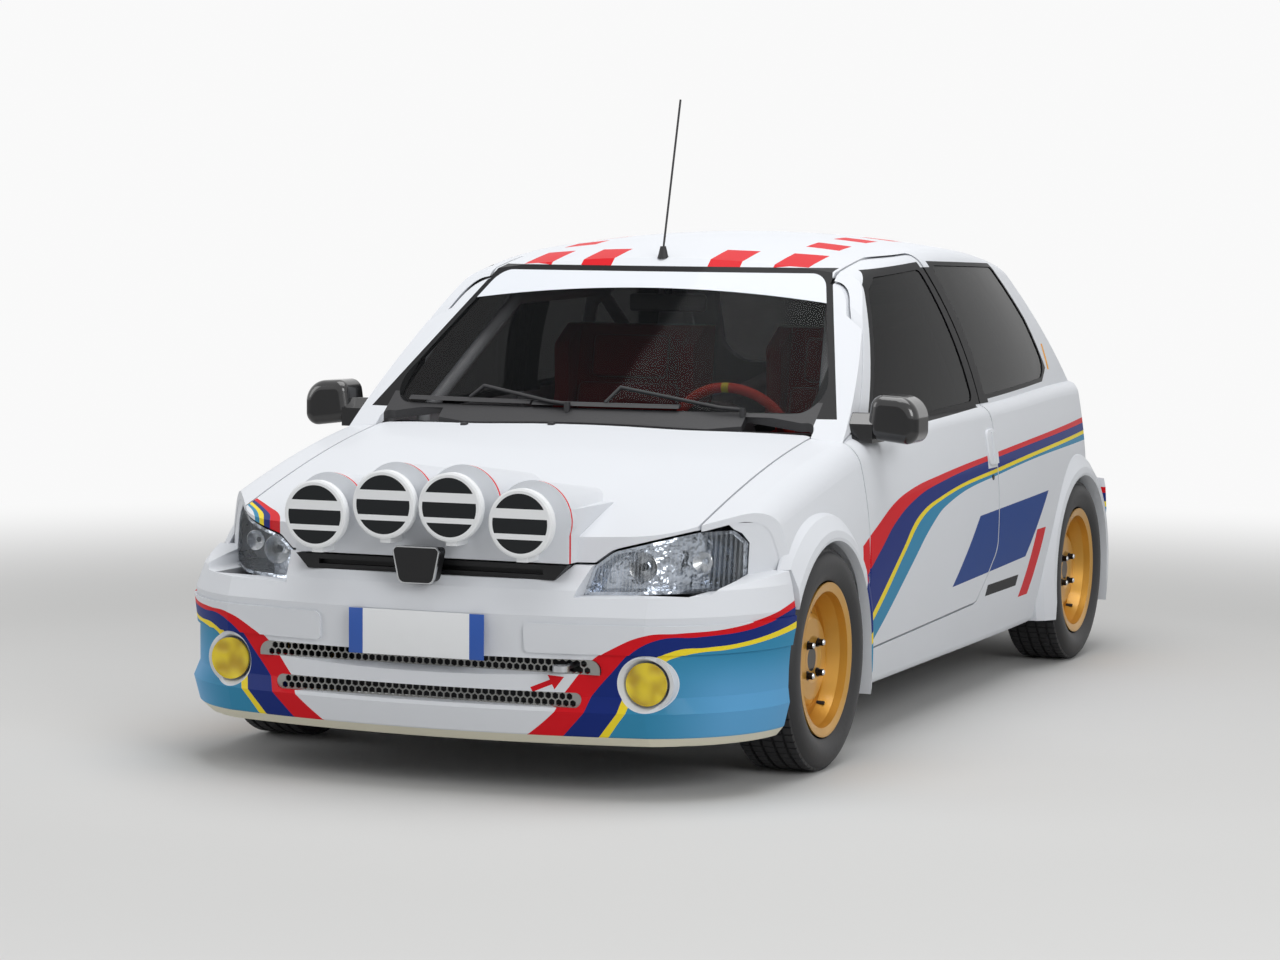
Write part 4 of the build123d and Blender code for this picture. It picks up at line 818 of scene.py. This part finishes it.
def pad(name, middle, size, lean, rows):
    """A soft pad about its middle, leaning back about the X axis, seamed into rows."""
    mesh = bmesh.new()
    made = bmesh.ops.create_cube(mesh, size=1.0)["verts"]
    bmesh.ops.scale(mesh, vec=size, verts=made)
    bmesh.ops.bevel(mesh, geom=list(mesh.edges), offset=min(size) * 0.42, affect="EDGES", segments=4,
                    profile=0.5, material=-1)
    for row in range(1, rows):
        height = size[2] * (row / rows - 0.5) if size[2] > size[1] else size[1] * (row / rows - 0.5)
        direction = (0, 0, 1) if size[2] > size[1] else (0, 1, 0)
        spot = Vector(direction) * height
        for gap in (-0.006, 0.0, 0.006):
            bmesh.ops.bisect_plane(mesh, geom=[*mesh.verts, *mesh.edges, *mesh.faces],
                                   plane_co=spot + Vector(direction) * gap, plane_no=direction)
        seam = [point for point in mesh.verts if abs((point.co - spot).dot(Vector(direction))) < 0.001]
        flat = Vector((0.985, 0.84, 1)) if size[2] > size[1] else Vector((0.985, 1, 0.84))
        bmesh.ops.scale(mesh, vec=flat, verts=seam)
    bmesh.ops.rotate(mesh, cent=(0, 0, 0), matrix=Matrix.Rotation(-lean, 3, "X"), verts=mesh.verts)
    bmesh.ops.translate(mesh, vec=middle, verts=mesh.verts)
    item = piece(name, mesh, red_fabric, "body", 70.0)
    return item


for side, middle_x in zip(("left", "right"), seat_middles):
    pad("seat_pad_" + side, (middle_x, 0.010, 0.418), (0.330, 0.350, 0.050), math.radians(6), 4)
    pad("back_pad_" + side, (middle_x, 0.242, 0.680), (0.320, 0.050, 0.420), back_lean, 5)
    pad("head_pad_" + side, (middle_x, 0.300, 0.965), (0.240, 0.045, 0.130), back_lean, 1)
print("six pads in two seats")

# %% [markdown]
# A blank number plate stands in front of the bumper between its two slots. It is a thin white
# board with rounded corners and a blue field at each end; the blue comes from its material.

# %% Front plate
plate_half = 0.180
plate_middle_z = 0.385
plate_half_height = 0.055


def plate_paint():
    """White with a blue end on each side."""
    material = finish("plate", shade(232, 234, 236), 0.35)
    tree = material.node_tree
    x, y, z = place(tree)
    ends = work(tree, "GREATER_THAN", work(tree, "ABSOLUTE", x), plate_half - 0.038)
    return uneven(material, over(tree, shade(232, 234, 236), shade(36, 84, 170), ends), 0.1, 0.03)


mesh = bmesh.new()
rounded_box(mesh, (-plate_half, -1.8495, plate_middle_z - plate_half_height),
            (plate_half, -1.8465, plate_middle_z + plate_half_height), 0.001)
plate = piece("front_plate", mesh, plate_paint(), "body")
print("plate", [round(side, 3) for side in plate.dimensions])

# %% [markdown]
# Between the headlamp's outer end and the wing a corner of the wing is open in the CAD part. The
# real wing reaches the lamp, so a flat fillet closes it: its outline is drawn in front view, laid
# onto the plane of the wing's chamfer, given the sheet's thickness and mirrored to the other side.

# %% Wing fillets
chamfer = Vector((0.82, -0.57, 0.08))
chamfer_reach = 1.4512
fillet_outline = ((0.7035, 0.515), (0.7035, 0.600), (0.690, 0.624), (0.676, 0.634), (0.664, 0.650),
                  (0.737, 0.647), (0.749, 0.625), (0.758, 0.600), (0.762, 0.570), (0.769, 0.545),
                  (0.772, 0.515))
for sign, side in ((1, "left"), (-1, "right")):
    mesh = bmesh.new()
    ring = []
    for across, height in fillet_outline:
        back = (chamfer.x * across + chamfer.z * height - chamfer_reach) / -chamfer.y
        ring.append(mesh.verts.new((across, back, height)))
    sheet = mesh.faces.new(ring)
    thick = bmesh.ops.extrude_face_region(mesh, geom=[sheet])["geom"]
    inner = [part for part in thick if isinstance(part, bmesh.types.BMVert)]
    bmesh.ops.translate(mesh, vec=chamfer * -0.002, verts=inner)
    bmesh.ops.scale(mesh, vec=(sign, 1, 1), verts=mesh.verts)
    piece("wing_fillet_" + side, mesh, body_paint, "body")
print("wing fillets on both sides")

# %% [markdown]
# The bumper's lower lip has a small notch in front of each wheel, where two cuts of the CAD part
# meet. A short piece of lip behind it closes the edge, in the bumper's own paint.

# %% Lip pieces
lip_corners = ((0.6137, -1.6955, 0.1305), (0.6440, -1.6690, 0.1305), (0.6425, -1.6910, 0.1460),
               (0.6244, -1.7041, 0.1459))
lip_inward = Vector((-0.62, 0.78, 0.0))
for sign, side in ((1, "left"), (-1, "right")):
    mesh = bmesh.new()
    sheet = mesh.faces.new([mesh.verts.new(Vector(corner) + lip_inward * 0.0004) for corner in lip_corners])
    thick = bmesh.ops.extrude_face_region(mesh, geom=[sheet])["geom"]
    back = [part for part in thick if isinstance(part, bmesh.types.BMVert)]
    bmesh.ops.translate(mesh, vec=lip_inward * 0.003, verts=back)
    bmesh.ops.scale(mesh, vec=(sign, 1, 1), verts=mesh.verts)
    piece("lip_" + side, mesh, nose_paint, "body")
print("lip pieces on both sides")

# %% [markdown]
# A bright frame runs round the dark plaque in the middle of the grille. Its outline is drawn twice,
# once just outside the plaque and once inside it, with faces between, and the flat ring gets depth.

# %% Plaque frame
half_outline = ((0.038, 0.508), (0.0465, 0.520), (0.0590, 0.581), (0.0500, 0.5925))
plaque_middle_z = 0.552
mesh = bmesh.new()
outline = [*half_outline, *[(-across, height) for across, height in reversed(half_outline)]]
rings = []
for grow in (1.055, 0.96):
    grown = [(across * grow, plaque_middle_z + (height - plaque_middle_z) * grow) for across, height in outline]
    rings.append([mesh.verts.new((across, -1.8499, height)) for across, height in grown])
outer, inner = rings
for step in range(len(outline)):
    mesh.faces.new((outer[step - 1], outer[step], inner[step], inner[step - 1]))
rim = bmesh.ops.extrude_face_region(mesh, geom=list(mesh.faces))["geom"]
back = [part for part in rim if isinstance(part, bmesh.types.BMVert)]
bmesh.ops.translate(mesh, vec=(0, 0.008, 0), verts=back)
piece("plaque_frame", mesh, silver, "body")
print("plaque frame ready")

# %% [markdown]
# Behind the headlamp glass stand two dishes, the main one with a bulb cap in front. A dish is an
# open cone given a thickness, turned so that its wide end looks forward.

# %% Headlamp dishes
dish_places = ((0.497, -1.612, 0.547, 0.037), (0.612, -1.520, 0.556, 0.026))
for sign, side in ((1, "left"), (-1, "right")):
    mesh = bmesh.new()
    for across, along, height, radius in dish_places:
        made = bmesh.ops.create_cone(mesh, cap_ends=False, segments=40, radius1=radius, radius2=radius * 0.3,
                                     depth=radius * 0.7)["verts"]
        bmesh.ops.rotate(mesh, cent=(0, 0, 0), matrix=Matrix.Rotation(-math.pi / 2, 3, "X"), verts=made)
        bmesh.ops.translate(mesh, vec=(sign * across, along, height), verts=made)
    bmesh.ops.solidify(mesh, geom=list(mesh.faces), thickness=0.0012)
    piece("lamp_dishes_" + side, mesh, silver, "body")
    across, along, height, radius = dish_places[0]
    mesh = bmesh.new()
    made = bmesh.ops.create_cone(mesh, cap_ends=True, segments=24, radius1=0.008, radius2=0.010,
                                 depth=0.026)["verts"]
    bmesh.ops.rotate(mesh, cent=(0, 0, 0), matrix=Matrix.Rotation(-math.pi / 2, 3, "X"), verts=made)
    bmesh.ops.translate(mesh, vec=(sign * across, along - 0.014, height), verts=made)
    piece("bulb_cap_" + side, mesh, black_gloss, "body")
print("dishes in both headlamps")

# %% [markdown]
# The door handle's plate is a rounded box that leans as the door's skin does, with a round lock
# below it. Its four corners are rounded first and far, then all its edges a little.

# %% Door handles
handle_low = Vector((0.0, 0.258, 0.676))
handle_high = Vector((0.0, 0.346, 0.780))
skin_at_low, skin_lean = 0.7948, -0.148
for sign, side in ((1, "left"), (-1, "right")):
    mesh = bmesh.new()
    made = bmesh.ops.create_cube(mesh, size=1.0)["verts"]
    bmesh.ops.scale(mesh, vec=(0.009, handle_high.y - handle_low.y, handle_high.z - handle_low.z), verts=made)
    across = [part for part in mesh.edges if abs(part.verts[0].co.x - part.verts[1].co.x) > 0.005]
    bmesh.ops.bevel(mesh, geom=across, offset=0.024, affect="EDGES", segments=6, profile=0.5, material=-1)
    rim = [part for part in mesh.edges if abs(part.verts[0].co.x - part.verts[1].co.x) < 0.001]
    bmesh.ops.bevel(mesh, geom=rim, offset=0.003, affect="EDGES", segments=3, profile=0.5, material=-1)
    bmesh.ops.translate(mesh, vec=(0.0025, *((handle_low + handle_high) / 2).yz), verts=mesh.verts)
    for point in mesh.verts:
        point.co.x = sign * (point.co.x + skin_at_low + skin_lean * (point.co.z - handle_low.z))
    piece("handle_plate_" + side, mesh, body_paint, "door_" + side, 40.0)
    mesh = bmesh.new()
    stub(mesh, 0.0085, 0.0075, -0.003, 0.0025, 20, (sign * 0.798, 0.292, 0.641), sign)
    piece("door_lock_" + side, mesh, bolt_black, "door_" + side)
print("handles on both doors")

# %% [markdown]
# The small clear lamp between front wheel and door, and the two washer jets on the bonnet, are
# each one rounded box. The interior mirror hangs behind the glass under the strip: a flat rounded
# housing on a short stalk from the roof.

# %% Small fittings
fitting_glass = uneven(finish("fitting glass", shade(226, 226, 216), 0.12, Coat_Weight=0.6),
                       shade(226, 226, 216), 0.02, 0.1)
for sign, side in ((1, "left"), (-1, "right")):
    mesh = bmesh.new()
    rounded_box(mesh, (sign * 0.7625 - 0.005, -0.896, 0.592), (sign * 0.7625 + 0.005, -0.850, 0.622), 0.004)
    piece("repeater_" + side, mesh, fitting_glass, "body")
mesh = bmesh.new()
for jet_x, skin_z in ((-0.328, 0.8244), (-0.072, 0.8325)):
    rounded_box(mesh, (jet_x - 0.009, -0.899, skin_z - 0.004), (jet_x + 0.009, -0.881, skin_z + 0.006), 0.003)
piece("washer_jets", mesh, black_plastic, "bonnet")
mesh = bmesh.new()
rounded_box(mesh, (-0.115, -0.258, 1.118), (0.115, -0.236, 1.168), 0.009)
rounded_box(mesh, (-0.010, -0.250, 1.160), (0.010, -0.240, 1.232), 0.003)
piece("inside_mirror", mesh, black_plastic, "body")
print("fittings on the body")

# %% [markdown]
# The picture is taken from the front left with a long lens, from standing height and about nine
# metres away. The camera's own axes are worked out from the three angles, and its matrix is set
# from them, so that the render lines up with the photograph.

# %% Camera
camera_place = Vector((3.576, -9.109, 1.397))
yaw, pitch, roll = 0.39146, -0.07891, 0.00699
focal_pixels = 3389.0
picture_width = 1280
forward = Vector((-math.sin(yaw) * math.cos(pitch), math.cos(yaw) * math.cos(pitch), math.sin(pitch)))
level = Vector((math.cos(yaw), math.sin(yaw), 0))
upright = level.cross(forward)
right = math.cos(roll) * level + math.sin(roll) * upright
up = math.cos(roll) * upright - math.sin(roll) * level
camera_data = bpy.data.cameras.new("camera")
camera_data.sensor_width = 36.0
camera_data.lens = focal_pixels / picture_width * camera_data.sensor_width
camera = bpy.data.objects.new("camera", camera_data)
camera.matrix_world = Matrix.Translation(camera_place) @ Matrix((right, up, -forward)).transposed().to_4x4()
bpy.context.scene.collection.objects.link(camera)
bpy.context.scene.camera = camera
print("lens", round(camera_data.lens, 1), "mm")

# %% [markdown]
# The car stands on a wide pale floor under soft light: one large lamp overhead for the long
# highlights on the bonnet, one on the camera's side, one weaker on the far side, and an even pale
# world. Behind the car the world shows white, also in reflections and through glass.

# %% Floor, lamps and world
floor_mesh = bmesh.new()
bmesh.ops.create_grid(floor_mesh, x_segments=1, y_segments=1, size=60.0)
floor_data = bpy.data.meshes.new("floor")
floor_mesh.to_mesh(floor_data)
floor_mesh.free()
floor_paint = uneven(finish("floor", shade(206, 206, 205), 0.9), shade(206, 206, 205), 0.8, 0.02)
tree = floor_paint.node_tree
x, y, z = place(tree)
distance = work(tree, "SQRT", work(tree, "ADD", work(tree, "MULTIPLY", x, x), work(tree, "MULTIPLY", y, y)))
fade = tree.nodes.new("ShaderNodeMapRange")
fade.interpolation_type = "SMOOTHSTEP"
fade.inputs["From Min"].default_value = 2.6
fade.inputs["From Max"].default_value = 7.0
tree.links.new(distance, fade.inputs["Value"])
rays = tree.nodes.new("ShaderNodeLightPath")
pale = tree.nodes.new("ShaderNodeEmission")
pale.inputs["Strength"].default_value = 0.95
mixed = tree.nodes.new("ShaderNodeMixShader")
fill(tree, mixed.inputs[0], every(tree, fade.outputs[0], rays.outputs["Is Camera Ray"]))
tree.links.new(tree.nodes["Principled BSDF"].outputs[0], mixed.inputs[1])
tree.links.new(pale.outputs[0], mixed.inputs[2])
tree.links.new(mixed.outputs[0], tree.nodes["Material Output"].inputs["Surface"])
floor_data.materials.append(floor_paint)
floor = bpy.data.objects.new("floor", floor_data)
bpy.context.scene.collection.objects.link(floor)


def soft_lamp(name, where, target, size, watts):
    """A square area lamp that looks at the target."""
    data = bpy.data.lights.new(name, "AREA")
    data.shape = "SQUARE"
    data.size = size
    data.energy = watts
    lamp = bpy.data.objects.new(name, data)
    aim = (Vector(target) - Vector(where)).to_track_quat("-Z", "Y")
    lamp.matrix_world = Matrix.Translation(where) @ aim.to_matrix().to_4x4()
    bpy.context.scene.collection.objects.link(lamp)
    return lamp


soft_lamp("overhead", (0.5, -0.5, 6.0), (0, 0, 0.5), 5.0, 250)
soft_lamp("camera side", (6.5, -6.0, 4.0), (0, 0, 0.6), 3.5, 230)
soft_lamp("far side", (-6.0, -4.0, 3.0), (0, 0, 0.6), 3.5, 90)
world = bpy.data.worlds.new("studio")
world.use_nodes = True
tree = world.node_tree
background = tree.nodes["Background"]
rays = tree.nodes.new("ShaderNodeLightPath")
seen = work(tree, "MAXIMUM", rays.outputs["Is Camera Ray"],
            work(tree, "MAXIMUM", rays.outputs["Is Glossy Ray"], rays.outputs["Is Transmission Ray"]))
background.inputs["Color"].default_value = (1, 1, 1, 1)
tree.links.new(work(tree, "MULTIPLY_ADD", seen, 0.60, 0.35), background.inputs["Strength"])
bpy.context.scene.world = world
bpy.context.scene.view_settings.view_transform = "Standard"
print("stage and lamps ready")
